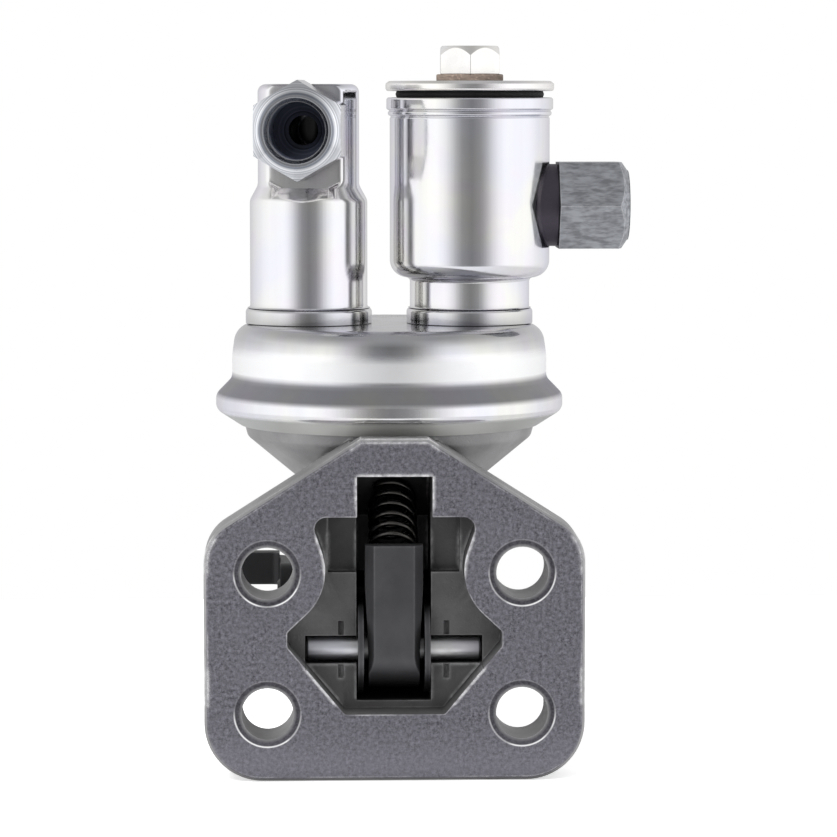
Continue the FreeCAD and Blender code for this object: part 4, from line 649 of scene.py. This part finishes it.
def finish_pressed_steel(colours):
    """Plating of the pressed pieces: rougher on the cone above the bead, with painted shade there, on the
    dome's top and in the outlet's bore, painted light on the dome's wall and the lip, and a painted violet
    reflection towards grazing edges.
    """
    finish = finish_plating("plated_steel", colours.plating, 0.9, 0.12, 24.0, 0.25, 0.40)
    tree = finish.tree
    parts = axes(tree, finish.place)
    height = parts["Z"]
    band = between(tree, height, 0.0490, 0.0502, 0.0534, 0.0548)
    lip = ramp(tree, height, 0.0464, 0.0456)
    wall = between(tree, height, 0.0538, 0.0548, 0.0584, 0.0606)
    plain, smooth = finish.source("Base Color"), finish.source("Roughness")
    # Painted reflection: a violet tint towards grazing edges.
    grazing = add(tree, "ShaderNodeLayerWeight", {}, Blend=0.35).outputs["Facing"]
    violet = times(tree, ramp(tree, grazing, 0.35, 0.95), 0.55)
    plain = mixed(tree, violet, plain, tinted(tree, plain, (0.80, 0.76, 0.93, 1.0)))
    # Painted shade: the cone above the bead darker.
    cone_shade = tinted(tree, plain, (0.43, 0.43, 0.435, 1.0))
    middle = ramp(tree, maths(tree, "ABSOLUTE", parts["X"]), 0.024, 0.010)
    # Painted shade: the dome's rounded top darker.
    shoulder = between(tree, height, 0.0596, 0.0622, 0.0660, 0.0700)
    plain = mixed(tree, times(tree, shoulder, 0.36), plain, (0.10, 0.105, 0.11, 1.0))
    # Painted highlight: the dome's wall lighter.
    plain = mixed(tree, times(tree, wall, 0.85), plain, (0.96, 0.965, 0.97, 1.0))
    # Painted light: the lip under the bead lighter and greenish, lightest in the middle where the flange
    # shades it.
    plain = mixed(tree, times(tree, lip, 0.85), plain,
                  mixed(tree, middle, (0.52, 0.535, 0.51, 1.0), (0.97, 0.98, 0.93, 1.0)))
    finish.set(Base_Color=mixed(tree, band, plain, cone_shade))
    # Painted shade in the outlet's bore.
    found = painted_bore_shade(finish, (TOWER_X * MM, PUMP_AXIS * MM, PORT_HEIGHT * MM),
                      (-math.sin(PORT_TURN), -math.cos(PORT_TURN), 0.0), 0.0233, 0.0343)
    front = times(tree, ramp(tree, found["Along"], 0.0185, 0.0205),
                  between(tree, found["Radius"], 0.0062, 0.0065, 0.0119, 0.0121))
    rings = turned_rings(tree, found["Radius"])
    groove = between(tree, found["Radius"], 0.0076, 0.0078, 0.0081, 0.0083)
    turned = mixed(tree, rings, (0.36, 0.375, 0.41, 1.0), (0.80, 0.815, 0.85, 1.0))
    turned = mixed(tree, groove, turned, (0.22, 0.235, 0.27, 1.0))
    faced = finish.source("Base Color")
    extra = maths(tree, "MAXIMUM", maths(tree, "MAXIMUM", band, lip), wall)
    metal = finish.source("Metallic")
    # Less metal on the lip, so that its painted light shows.
    under = maths(tree, "SUBTRACT", 1.0, times(tree, lip, 0.70))
    finish.set(Base_Color=mixed(tree, front, faced, turned), Metallic=times(tree, metal, under),
               Roughness=maths(tree, "ADD", smooth, times(tree, extra, 0.40)))


def finish_blasted_steel(colours):
    """Grey blasted and rolled fitting, with rows of faint saw marks."""
    finish = Finish("fitting_steel")
    tree, place = finish.tree, finish.place
    grain = use(tree, "Cast Grain", Vector=place, Scale=1900.0)
    marks = noise(tree, stretched(tree, place, (280.0, 900.0, 950.0)), 1.0, 2.0, 0.7)
    base = mixed(tree, ramp(tree, marks, 0.36, 0.64), rgba(colours.fitting, 0.58),
                 rgba(colours.fitting, 1.02))
    base = mixed(tree, grain["Tone"], tinted(tree, base, (0.90, 0.90, 0.92, 1.0)), base)
    shade = use(tree, "Recess Shade", Reach=0.009, Floor=0.16)["Shade"]
    # Rubbed edges with painted highlights, over painted shade in recesses.
    wear_and_highlight = use(tree, "Edge Wear And Highlight", Vector=place, Width=0.0004)["Mask"]
    base = mixed(tree, times(tree, wear_and_highlight, 0.5), tinted(tree, base, shade), (0.85, 0.86, 0.88, 1.0))
    finish.set(Base_Color=base, Metallic=0.9, Roughness=ramp(tree, grain["Height"], 0.2, 0.8, 0.38, 0.55))
    # Painted shade in the inlet's bore.
    found = painted_bore_shade(finish, (CAN_X * MM, PUMP_AXIS * MM, INLET_HEIGHT * MM), (1.0, 0.0, 0.0),
                      0.0351, 0.0190)
    # Painted shade: a dark purple colour at the foot, in the gap against the can.
    foot = ramp(tree, found["Along"], 0.0196, 0.0192)
    finish.set(Base_Color=mixed(tree, foot, finish.source("Base Color"), (0.080, 0.070, 0.090, 1.0)))
    finish.bump(marks, 0.00006, 0.6)


def finish_dark_steel(slot, colour, rough=0.42):
    """Blackened steel, lighter where its edges are rubbed and with painted highlights there, and with
    painted shade behind the flange and in recesses.
    """
    finish = Finish(slot)
    tree, place = finish.tree, finish.place
    grain = use(tree, "Cast Grain", Vector=place, Scale=2600.0)
    skin = mixed(tree, grain["Tone"], rgba(colour, 0.88), rgba(colour, 1.12))
    parts = axes(tree, place)
    # Painted shade: darker the deeper it lies behind the flange, and at a fixed darker level beyond the
    # window's sides.
    behind = times(tree, ramp(tree, parts["Y"], 0.007, 0.030, 1.0, 0.22),
                   ramp(tree, parts["Z"], -0.0095, -0.0048, 0.30, 1.0))
    outside = ramp(tree, maths(tree, "ABSOLUTE", parts["X"]), 0.012, 0.013)
    behind = blend(tree, outside, behind, 0.35)
    shade = times(tree, behind, use(tree, "Recess Shade", Reach=0.008, Floor=0.3)["Shade"])
    # Rubbed edges with painted highlights.
    wear_and_highlight = use(tree, "Edge Wear And Highlight", Vector=place, Width=0.0008)["Mask"]
    base = mixed(tree, times(tree, wear_and_highlight, 0.55), skin, rgba(colour, 2.6))
    finish.set(Base_Color=tinted(tree, base, shade), Metallic=0.75,
               Roughness=ramp(tree, grain["Height"], 0.2, 0.8, rough * 0.85, rough * 1.2))
    finish.bump(grain["Height"], 0.00003, 0.35)


def finish_rubber(colours):
    finish = Finish("black_rubber")
    grain = use(finish.tree, "Cast Grain", Vector=finish.place, Scale=3000.0)
    finish.set(Base_Color=mixed(finish.tree, grain["Tone"], rgba(colours.rubber), rgba(colours.rubber, 1.7)),
               Roughness=ramp(finish.tree, grain["Height"], 0.2, 0.8, 0.55, 0.75))
    finish.bump(grain["Height"], 0.00003, 0.6)


def finish_fibre(colours):
    finish = Finish("washer_fibre")
    tree, place = finish.tree, finish.place
    layers = noise(tree, stretched(tree, place, (300.0, 300.0, 4000.0)), 1.0, 3.0)
    flecks = noise(tree, place, 2500.0, 2.0)
    base = mixed(tree, ramp(tree, layers, 0.35, 0.65), rgba(colours.fibre, 0.7), rgba(colours.fibre, 1.3))
    finish.set(Base_Color=mixed(tree, ramp(tree, flecks, 0.55, 0.7), base, rgba(colours.fibre, 1.9)),
               Roughness=ramp(tree, flecks, 0.3, 0.7, 0.65, 0.9))
    finish.bump(flecks, 0.00006, 0.7)


def finish_plastic():
    finish = Finish("valve_plastic")
    grain = use(finish.tree, "Cast Grain", Vector=finish.place, Scale=1800.0)
    finish.set(Base_Color=mixed(finish.tree, grain["Tone"], (0.62, 0.58, 0.47, 1.0),
                                (0.70, 0.66, 0.55, 1.0)),
               Roughness=ramp(finish.tree, grain["Height"], 0.2, 0.8, 0.38, 0.5))
    finish.bump(grain["Height"], 0.00002, 0.4)


def finish_cloth(slot, colour, threads, metal):
    """Woven cloth or gauze."""
    finish = Finish(slot)
    weave = use(finish.tree, "Weave", Vector=finish.place, Threads=threads)
    finish.set(Base_Color=mixed(finish.tree, weave["Tone"], rgba(colour, 0.6), rgba(colour, 1.3)),
               Metallic=metal, Roughness=ramp(finish.tree, weave["Height"], 0.0, 1.0, 0.75, 0.5))
    finish.bump(weave["Height"], 0.0001, 0.8)


class PUMP_OT_finishes(Operator):
    """Mix the finishes of all the pieces"""
    bl_idname = "pump.finishes"
    bl_label = "Finishes"

    def execute(self, context):
        colours = context.scene.pump_colours
        for make in (make_cast_grain, make_fine_scratches, make_edge_wear_and_highlight, make_recess_shade,
                     make_axis_mask, make_plating_tint, make_weave):
            make()
        finish_cast_aluminium(colours)
        finish_pressed_steel(colours)
        finish_blasted_steel(colours)
        finish_plating("cover_steel", colours.cover, 0.5, 0.22, 600.0)
        finish_dark_steel("link_steel", (0.075, 0.075, 0.080), 0.38)
        finish_plating("pin_steel", (0.80, 0.81, 0.84), 0.6, 0.40, 3000.0, floor=0.5)
        # Painted shade: the springs' very dark colour stands in for the shade inside the housing.
        finish_plating("spring_steel", (0.10, 0.097, 0.094), 0.7, 0.25, 900.0)
        finish_plating("plate_steel", (0.60, 0.58, 0.52), 0.9, 0.32, 800.0)
        finish_dark_steel("dark_steel", colours.dark)
        finish_rubber(colours)
        finish_fibre(colours)
        finish_plastic()
        finish_cloth("strainer_mesh", (0.55, 0.45, 0.25), 2500.0, 1.0)
        finish_cloth("diaphragm_cloth", (0.12, 0.10, 0.08), 1400.0, 0.0)
        for made in NODES.values():
            slot = made.data.materials[0].name.split(".")[0]
            made.data.materials.clear()
            made.data.materials.append(bpy.data.materials["finish_" + slot])
        return {"FINISHED"}


# Pressed pieces

class PUMP_OT_shell(Operator):
    """Press the dome with its bead, rolled under the casting's rim"""
    bl_idname = "pump.shell"
    bl_label = "Upper shell"

    def execute(self, context):
        sizes = context.scene.pump_shell
        dome, bead = sizes.dome_radius / MM, sizes.bead_radius / MM
        top, lip, edge = dome - sizes.dome_taper / MM, sizes.lip_radius / MM, sizes.edge_radius / MM
        profile = [(0, DOME_TOP), (top, DOME_TOP, edge), (dome, 58.4, 14.0), (dome, 53.3, 2.4),
                   (bead, 49.6, 2.2), (bead, 46.4, 2.2), (lip, 42.6, 0.4), (lip, 44.4, 0.4),
                   (37.0, 47.3, 0.7),
                   (37.0, 49.0, 0.7), (dome - 1.5, 52.7, 2.2), (top - 1.5, 63.8, edge - 1.5), (0, 63.8)]
        fit(lathe("shell", profile, 0), "pump_body", "plated_steel", "upper_shell")
        return {"FINISHED"}


class PUMP_OT_outlet_tower(Operator):
    """Draw the outlet tube and press the flat for its port"""
    bl_idname = "pump.outlet_tower"
    bl_label = "Outlet tower"

    def execute(self, context):
        sizes = context.scene.pump_tubes
        lower, upper = sizes.tower_lower / MM, sizes.tower_upper / MM
        pad, reach = sizes.pad_depth / MM, sizes.pad_radius / MM
        aim = Vector((-math.sin(PORT_TURN), -math.cos(PORT_TURN), 0))
        across = Vector((math.cos(PORT_TURN), -math.sin(PORT_TURN), 0))

        def press(point):
            """Push the front of the tube back to the pad, with a soft border."""
            forward, aside = point.dot(aim), point.dot(across)
            if forward < 2.0 or point.z < PORT_HEIGHT - reach - 2:
                return point
            inner = 1.3 if math.hypot(point.x, point.y) < upper - 0.6 else 0.0
            far = math.hypot(aside, point.z - PORT_HEIGHT) - reach
            ease = min(max((far + 1.6) / 2.4, 0.0), 1.0)
            limit = pad - inner + 6.5 * ease * ease * (3 - 2 * ease)
            soft = 0.45
            kept = (forward + limit - math.sqrt((forward - limit) ** 2 + soft ** 2)) / 2
            return point + aim * (kept - forward)

        profile = [(11.9, 63.0), (11.9, DOME_TOP), (14.0, DOME_TOP, 0.2), (14.0, 68.8, 1.0),
                   (lower, 68.8, 0.6), (lower, 92.6, 2.6), (upper, 95.9, 2.6)]
        profile += [(upper, 97.0 + 0.7 * i) for i in range(28)]
        profile += [(upper, 118.1, 1.8)]
        profile += [(upper - 1.9 - 0.55 * i, 118.1) for i in range(17)]
        profile += [(0, 118.1), (0, 116.8), (upper - 1.3, 116.8, 1.0), (upper - 1.3, 95.9, 1.5),
                    (10.6, 92.6, 1.5), (10.6, 63.0)]
        made = lathe("outlet_tube", profile, TOWER_X, press, 38.0)
        start = Vector((TOWER_X, PUMP_AXIS, PORT_HEIGHT)) + aim * 2
        drill_hole(made, start, aim, 4.5, 12)
        fit(made, "pump_body", "plated_steel", "outlet_tower")
        return {"FINISHED"}


class PUMP_OT_inlet_can(Operator):
    """Draw the strainer can with its stepped neck, band and rim"""
    bl_idname = "pump.inlet_can"
    bl_label = "Inlet can"

    def execute(self, context):
        sizes = context.scene.pump_tubes
        wall, band = sizes.can_radius / MM, sizes.band_radius / MM
        profile = [(11.9, 63.0), (11.9, DOME_TOP), (14.0, DOME_TOP, 0.2), (14.0, 68.8, 1.0),
                   (13.25, 68.8, 0.4), (13.25, 75.5, 1.0), (wall, 75.5, 3.8), (wall, 110.65, 0.5),
                   (wall - 0.3, 111.0, 0.2), (band, 111.35, 0.4), (band, 111.95, 0.4),
                   (band - 0.3, 112.3, 0.15), (18.45, 112.65, 0.4), (18.45, 115.2, 0.6), (14.6, 115.2, 0.3),
                   (14.6, 113.9, 0.3),
                   (wall - 1.3, 113.9, 1.0), (wall - 1.3, 77.1, 2.5), (0, 77.1), (0, 75.5),
                   (10.6, 75.5, 1.0), (10.6, 63.0)]
        made = lathe("can", profile, CAN_X)
        drill_hole(made, (CAN_X + 10, PUMP_AXIS, INLET_HEIGHT), (1, 0, 0), 4.5, 12)
        fit(made, "pump_body", "plated_steel", "inlet_can")
        return {"FINISHED"}


class PUMP_OT_cover(Operator):
    """Lay the gasket, cap plate and fibre washer on the can"""
    bl_idname = "pump.cover"
    bl_label = "Cover, gasket and washer"

    def execute(self, context):
        gasket = [(13.6, 115.2), (16.2, 115.2, 0.2), (16.45, 115.9, 0.5), (16.2, 116.6, 0.2), (13.6, 116.6)]
        fit(lathe("gasket", gasket, CAN_X), "pump_body", "black_rubber", "cover_gasket")
        plate = [(4.3, 116.6), (18.35, 116.6, 0.5), (18.65, 117.1, 0.3), (18.65, 118.2, 0.5),
                 (17.9, 118.8, 0.6), (4.3, 118.8)]
        fit(lathe("cap_plate", plate, CAN_X), "pump_body", "cover_steel", "can_cover")
        washer = [(4.3, 118.8), (7.4, 118.8, 0.25), (7.4, 120.3, 0.35), (4.3, 120.3)]
        fit(lathe("fibre_washer", washer, CAN_X), "pump_body", "washer_fibre", "cover_washer")
        return {"FINISHED"}


# Hexagons

def hexagon_radius(flats, angle):
    """Distance from the middle to a hexagon's side, with a corner at angle zero."""
    return flats / 2 / math.cos(angle % (math.pi / 3) - math.pi / 6)


def nut_columns(flats, low, high, chamfer, rise, inside, steps=144):
    """Columns of a hexagon whose far corners are turned off, closed by an inner outline."""
    columns = []
    for k in range(steps):
        angle = math.tau * k / steps
        side = hexagon_radius(flats, angle)
        end = flats / 2 - chamfer
        meet = high - max(side - end, 0.02) / rise
        outline = [(side, low), (side, meet), (end, high)] + inside(angle)
        columns.append([Vector((r * math.cos(angle), r * math.sin(angle), z)) for r, z in outline])
    return columns


def threaded_bore(radius, pitch, high, depth, passage, back):
    """Inner outline of a fitting: lead-in, helical thread, seat and passage."""
    def inside(angle):
        points = [(radius + 1.5, high), (radius + 0.12, high - 1.45)]
        levels = int((depth - 1.7) / pitch * 10)
        for i in range(levels + 1):
            z = high - 1.7 - (depth - 2.2) * i / levels
            phase = ((z / pitch) - angle / math.tau) % 1.0
            ridge = 1 - abs(2 * phase - 1)
            fade = min(1.0, i / 8, (levels - i) / 10)
            points.append((radius + 0.02 + 0.62 * fade * min(max(1.6 * ridge - 0.3, 0.0), 1.0), z))
        floor = high - depth
        return points + [(radius, floor), (passage, floor - (radius - passage)), (passage, back)]
    return inside


class PUMP_OT_fittings(Operator):
    """Turn the two hexagon fittings with their threads"""
    bl_idname = "pump.fittings"
    bl_label = "Hexagon fittings"

    def execute(self, context):
        sizes = context.scene.pump_fittings
        flats, reach = sizes.flats / MM, sizes.reach / MM
        radius, pitch = sizes.thread_radius / MM, sizes.thread_pitch / MM
        wall = context.scene.pump_tubes.can_radius / MM - 0.3
        quarter = math.radians(90)

        def plain_foot(angle):
            return [(4.5, 6.4), (4.5, OUTLET_START)]

        def saddle_foot(angle):
            """Foot that follows the can's round wall, then the shank and its groove."""
            seat = [(r, math.sqrt(wall ** 2 - (r * math.cos(angle)) ** 2)) for r in (4.5, 7.0, 8.6, 9.1)]
            return seat + [(9.1, 19.2), (8.9, INLET_START)]

        for name, node, slot, start, chamfer, foot, place in (
                ("outlet_union", "outlet_fitting", "plated_steel", OUTLET_START, 2.4, plain_foot,
                 Matrix.Translation((TOWER_X, PUMP_AXIS, PORT_HEIGHT)) @ Matrix.Rotation(-PORT_TURN, 4, "Z")
                 @ Matrix.Rotation(quarter, 4, "X") @ Matrix.Rotation(quarter, 4, "Z")),
                ("inlet_union", "inlet_fitting", "fitting_steel", INLET_START, 2.0, saddle_foot,
                 Matrix.Translation((CAN_X, PUMP_AXIS, INLET_HEIGHT)) @ Matrix.Rotation(quarter, 4, "Y")
                 @ Matrix.Rotation(quarter, 4, "Z"))):
            end = start + reach
            bore = threaded_bore(radius, pitch, end, 11.5, 3.25, start - 3.3)
            columns = nut_columns(flats, start, end, chamfer, 1.45,
                                  lambda angle, bore=bore, foot=foot: bore(angle) + foot(angle))
            made = columns_to_mesh(name, columns, place, 26.0)
            fit(made, "pump_body", slot, node)
        return {"FINISHED"}


class PUMP_OT_cover_bolt(Operator):
    """Forge the bolt that holds the cover down"""
    bl_idname = "pump.cover_bolt"
    bl_label = "Cover bolt"

    def execute(self, context):
        flats = context.scene.pump_fittings.bolt_flats / MM
        place = Matrix.Translation((CAN_X, PUMP_AXIS, 0)) @ Matrix.Rotation(math.radians(88.5), 4, "Z")
        shank = [(5.4, 126.5), (5.0, 126.35), (0, 126.3), (0, 100.3), (3.4, 100.3), (4.0, 100.9),
                 (4.0, 120.3)]
        columns = nut_columns(flats, 120.3, 126.5, 0.3, 0.62, lambda angle: shank)
        made = soften(columns_to_mesh("bolt", columns, place, 20.0), 0.12, 2, 24.0)
        fit(made, "pump_body", "cover_steel", "cover_bolt")
        return {"FINISHED"}


# Casting, levers and pin

class PUMP_OT_castings(Operator):
    """Soften the edges of the casting, the levers and the pin"""
    bl_idname = "pump.castings"
    bl_label = "Casting and levers"

    def execute(self, context):
        for name, node, body, slot, width in (
                ("housing", "lower_housing", "pump_body", "cast_aluminium", 0.30),
                ("rocker", "rocker_arm", "rocker", "dark_steel", 0.35),
                ("link", "rocker_link", "link", "link_steel", 0.15),
                ("lever", "primer_lever", "primer", "dark_steel", 0.30),
                ("pin", "pivot_pin", "pump_body", "pin_steel", 0.10)):
            made = copy_of_node(name, node)
            if name == "rocker":
                cut_above(made, ROCKER_TOP)
            fit(soften(made, width), body, slot, node)
        return {"FINISHED"}


# Springs, all from one Geometry Nodes tree

def make_coil_tree():
    """Round wire wound on a spiral."""
    tree, take, give = new_group(
        "Coil", "GeometryNodeTree",
        [("Radius", FLOAT, 0.005), ("Wire", FLOAT, 0.0006), ("Turns", FLOAT, 3.0), ("Length", FLOAT, 0.01),
         ("Material", "NodeSocketMaterial", None)],
        [("Geometry", "NodeSocketGeometry")])
    spiral = add(tree, "GeometryNodeCurveSpiral", {}, **{
        "Resolution": 40, "Rotations": take["Turns"], "Start Radius": take["Radius"],
        "End Radius": take["Radius"], "Height": take["Length"]})
    wire = add(tree, "GeometryNodeCurvePrimitiveCircle", {}, Resolution=14, Radius=take["Wire"])
    tube = add(tree, "GeometryNodeCurveToMesh", {}, **{
        "Curve": spiral.outputs[0], "Profile Curve": wire.outputs[0], "Fill Caps": True})
    smooth = add(tree, "GeometryNodeSetShadeSmooth", {}, Geometry=tube.outputs[0])
    plain = add(tree, "GeometryNodeRealizeInstances", {}, Geometry=smooth.outputs[0])
    painted = add(tree, "GeometryNodeSetMaterial", {}, Geometry=plain.outputs[0], Material=take["Material"])
    tree.links.new(painted.outputs[0], give["Geometry"])
    return tree


def wind(name, tree, radius, wire, turns, long, place, slot):
    """Wind one spring with the Coil tree and lay it in place, sizes in millimetres."""
    made = placed(name, bpy.data.meshes.new(name))
    modifier = made.modifiers.new("coil", "NODES")
    modifier.node_group = tree
    values = {"Radius": radius * MM, "Wire": wire / 2 * MM, "Turns": turns, "Length": long * MM,
              "Material": bpy.data.materials["finish_" + slot]}
    for item in tree.interface.items_tree:
        if item.in_out == "INPUT":
            modifier[item.identifier] = values[item.name]
    apply_modifiers(made)
    made.data.transform(place)
    bm = bmesh.new()
    bm.from_mesh(made.data)
    bmesh.ops.remove_doubles(bm, verts=bm.verts, dist=1e-7)
    bmesh.ops.recalc_face_normals(bm, faces=bm.faces)
    bm.to_mesh(made.data)
    bm.free()
    return made


class PUMP_OT_springs(Operator):
    """Wind the springs"""
    bl_idname = "pump.springs"
    bl_label = "Springs"

    def execute(self, context):
        tree = make_coil_tree()
        rise = math.radians(41.5)
        along = Vector((0, math.cos(rise), math.sin(rise)))
        start = Vector((0, 10.5, 18.0)) + along * 0.7
        lean = Matrix.Translation(start * MM) @ Matrix.Rotation(rise - math.pi / 2, 4, "X")
        spring = wind("return_spring", tree, 4.7, 1.3, 5.4, 16.0, lean, "spring_steel")
        fit(spring, "pump_body", "spring_steel", "rocker_spring")
        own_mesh(spring)
        upright = Matrix.Translation((0, PUMP_AXIS * MM, 36.3 * MM))
        spring = wind("main_spring", tree, 14.6, 2.0, 3.0, 9.8, upright, "spring_steel")
        fit(spring, "pump_body", "spring_steel", "diaphragm_spring")
        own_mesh(spring)
        for side, x, low, aim, seat in (("inlet", CAN_X, 56.6, -1, 0.0566),
                                        ("outlet", TOWER_X, 57.8, 1, 0.0608)):
            place = Matrix.Translation((x * MM, PUMP_AXIS * MM, low * MM))
            spring = wind(side + "_disc_spring", tree, 2.4, 0.5, 3.0, 3.0, place, "spring_steel")
            fit(spring, "pump_body", "spring_steel", side + "_valve_spring")
            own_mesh(spring)
        return {"FINISHED"}


# Studio

CAMERA_PLACE = (-0.0208, -0.750, 0.1148)
CAMERA_TURN = -1.97
CAMERA_DIP = 5.1
CAMERA_LENS = 153.9
FLOOR_HALF = 0.24


def studio_light(level):
    """White room for the camera, plain light for the pieces and soft boxes for their gloss."""
    world = bpy.data.worlds.new("studio")
    bpy.context.scene.world = world
    world.use_nodes = True
    world.cycles.sampling_method = "NONE"
    tree = world.node_tree
    tree.nodes.clear()
    direction = add(tree, "ShaderNodeTexCoord").outputs["Generated"]
    parts = axes(tree, direction)
    aside = maths(tree, "ABSOLUTE", parts["X"])
    turned = maths(tree, "DIVIDE", maths(tree, "ARCTAN2", aside, times(tree, parts["Y"], -1.0)), math.pi)
    round_room = add(tree, "ShaderNodeValToRGB")
    tree.links.new(turned, round_room.inputs[0])
    brightest = 1.3
    stops = [(0, 0.24), (13, 0.33), (21, 0.52), (28, 0.77), (35, 1.02), (43, 1.20), (52, brightest),
             (95, 1.22), (115, 1.05), (135, 0.95), (180, 0.60)]
    table = round_room.color_ramp
    table.elements.remove(table.elements[0])
    for i, (angle, value) in enumerate(stops):
        spot = table.elements[0] if i == 0 else table.elements.new(angle / 180)
        spot.position = angle / 180
        spot.color = (value / brightest, value / brightest, value / brightest, 1.0)
    high = ramp(tree, parts["Z"], 0.35, 0.92)
    low = ramp(tree, parts["Z"], -0.25, -0.85)
    sides = times(tree, round_room.outputs[0], brightest)
    room = blend(tree, low, blend(tree, high, sides, 0.50), 0.40)
    rays = add(tree, "ShaderNodeLightPath").outputs
    shiny = maths(tree, "MAXIMUM", rays["Is Glossy Ray"], rays["Is Transmission Ray"])
    whole = blend(tree, rays["Is Camera Ray"], blend(tree, shiny, level, room), 1.0)
    background = add(tree, "ShaderNodeBackground", {}, Color=(1, 1, 1, 1), Strength=whole)
    output = tree.nodes.new("ShaderNodeOutputWorld")
    tree.links.new(background.outputs[0], output.inputs["Surface"])


def soft_lamp(name, place, aim, size, power):
    lamp = bpy.data.lights.new(name, "AREA")
    lamp.shape = "DISK"
    lamp.size = size
    lamp.energy = power
    made = placed(name, lamp)
    made.visible_glossy = False
    made.location = place
    made.rotation_euler = (Vector(aim) - Vector(place)).to_track_quat("-Z", "Y").to_euler()


class PUMP_OT_stage(Operator):
    """Set up the floor, the soft light and the camera"""
    bl_idname = "pump.stage"
    bl_label = "Stage"

    def execute(self, context):
        settings = context.scene.pump_studio
        for name in ("Cube", "Light", "Camera"):
            if name in bpy.data.objects:
                bpy.data.objects.remove(bpy.data.objects[name])
        studio_light(settings.diffuse_level)
        soft_lamp("key", (-0.35, -0.55, 0.75), (0, 0.03, 0.04), 0.5, settings.key_power)
        if settings.show_floor:
            bm = bmesh.new()
            bmesh.ops.create_grid(bm, x_segments=1, y_segments=1, size=FLOOR_HALF)
            mesh = bpy.data.meshes.new("floor")
            bm.to_mesh(mesh)
            bm.free()
            mesh.transform(Matrix.Translation((0, 0.04, CAD_BOX[0][2] - 0.0002)))
            floor = placed("floor", mesh)
            finish_floor(floor, settings.floor_tone)
        camera = bpy.data.cameras.new("camera")
        camera.lens, camera.sensor_width = CAMERA_LENS, 36.0
        camera.clip_start, camera.clip_end = 0.01, 10.0
        made = placed("camera", camera)
        made.matrix_world = (Matrix.Translation(CAMERA_PLACE)
                             @ Matrix.Rotation(math.radians(CAMERA_TURN), 4, "Z")
                             @ Matrix.Rotation(math.radians(90 - CAMERA_DIP), 4, "X"))
        context.scene.camera = made
        context.scene.view_settings.view_transform = "Standard"
        return {"FINISHED"}


def finish_floor(floor, colour):
    """Plain pale paper, white to the camera away from the part's shadow."""
    finish = Finish("floor_paper")
    tree = finish.tree
    grain = noise(tree, finish.place, 900.0, 2.0)
    finish.set(Base_Color=mixed(tree, ramp(tree, grain, 0.3, 0.7), rgba(colour, 0.985), rgba(colour, 1.0)),
               Roughness=0.9, Emission_Color=(1.0, 1.0, 1.0, 1.0))
    seen = add(tree, "ShaderNodeLightPath").outputs["Is Camera Ray"]
    finish.set(Emission_Strength=times(tree, seen, 0.62))
    floor.data.materials.append(finish.material)


class PUMP_PT_panel(Panel):
    """Pieces, sizes and finishes of the fuel pump"""
    bl_label = "Fuel pump"
    bl_idname = "PUMP_PT_panel"
    bl_space_type = "VIEW_3D"
    bl_region_type = "UI"
    bl_category = "Fuel pump"

    def draw(self, context):
        for kind in OPERATORS:
            self.layout.operator(kind.bl_idname)
        for group, kind in GROUPS.items():
            box = self.layout.box()
            box.label(text=kind.__doc__)
            for name in kind.__annotations__:
                box.prop(getattr(context.scene, group), name)


GROUPS = {"pump_shell": ShellSizes, "pump_tubes": TubeSizes, "pump_fittings": FittingSizes,
          "pump_colours": FinishColours, "pump_studio": StudioSettings}
OPERATORS = (PUMP_OT_finishes, PUMP_OT_shell, PUMP_OT_outlet_tower, PUMP_OT_inlet_can, PUMP_OT_cover,
             PUMP_OT_fittings, PUMP_OT_cover_bolt, PUMP_OT_castings, PUMP_OT_springs, PUMP_OT_stage)


def register():
    for kind in (*GROUPS.values(), *OPERATORS, PUMP_PT_panel):
        bpy.utils.register_class(kind)
    for name, kind in GROUPS.items():
        setattr(bpy.types.Scene, name, PointerProperty(type=kind))


def unregister():
    for name in GROUPS:
        delattr(bpy.types.Scene, name)
    for kind in (PUMP_PT_panel, *reversed(OPERATORS), *reversed(GROUPS.values())):
        bpy.utils.unregister_class(kind)


def main():
    register()
    for kind in OPERATORS:
        group, name = kind.bl_idname.split(".")
        getattr(getattr(bpy.ops, group), name)()


if __name__ == "__main__":
    main()
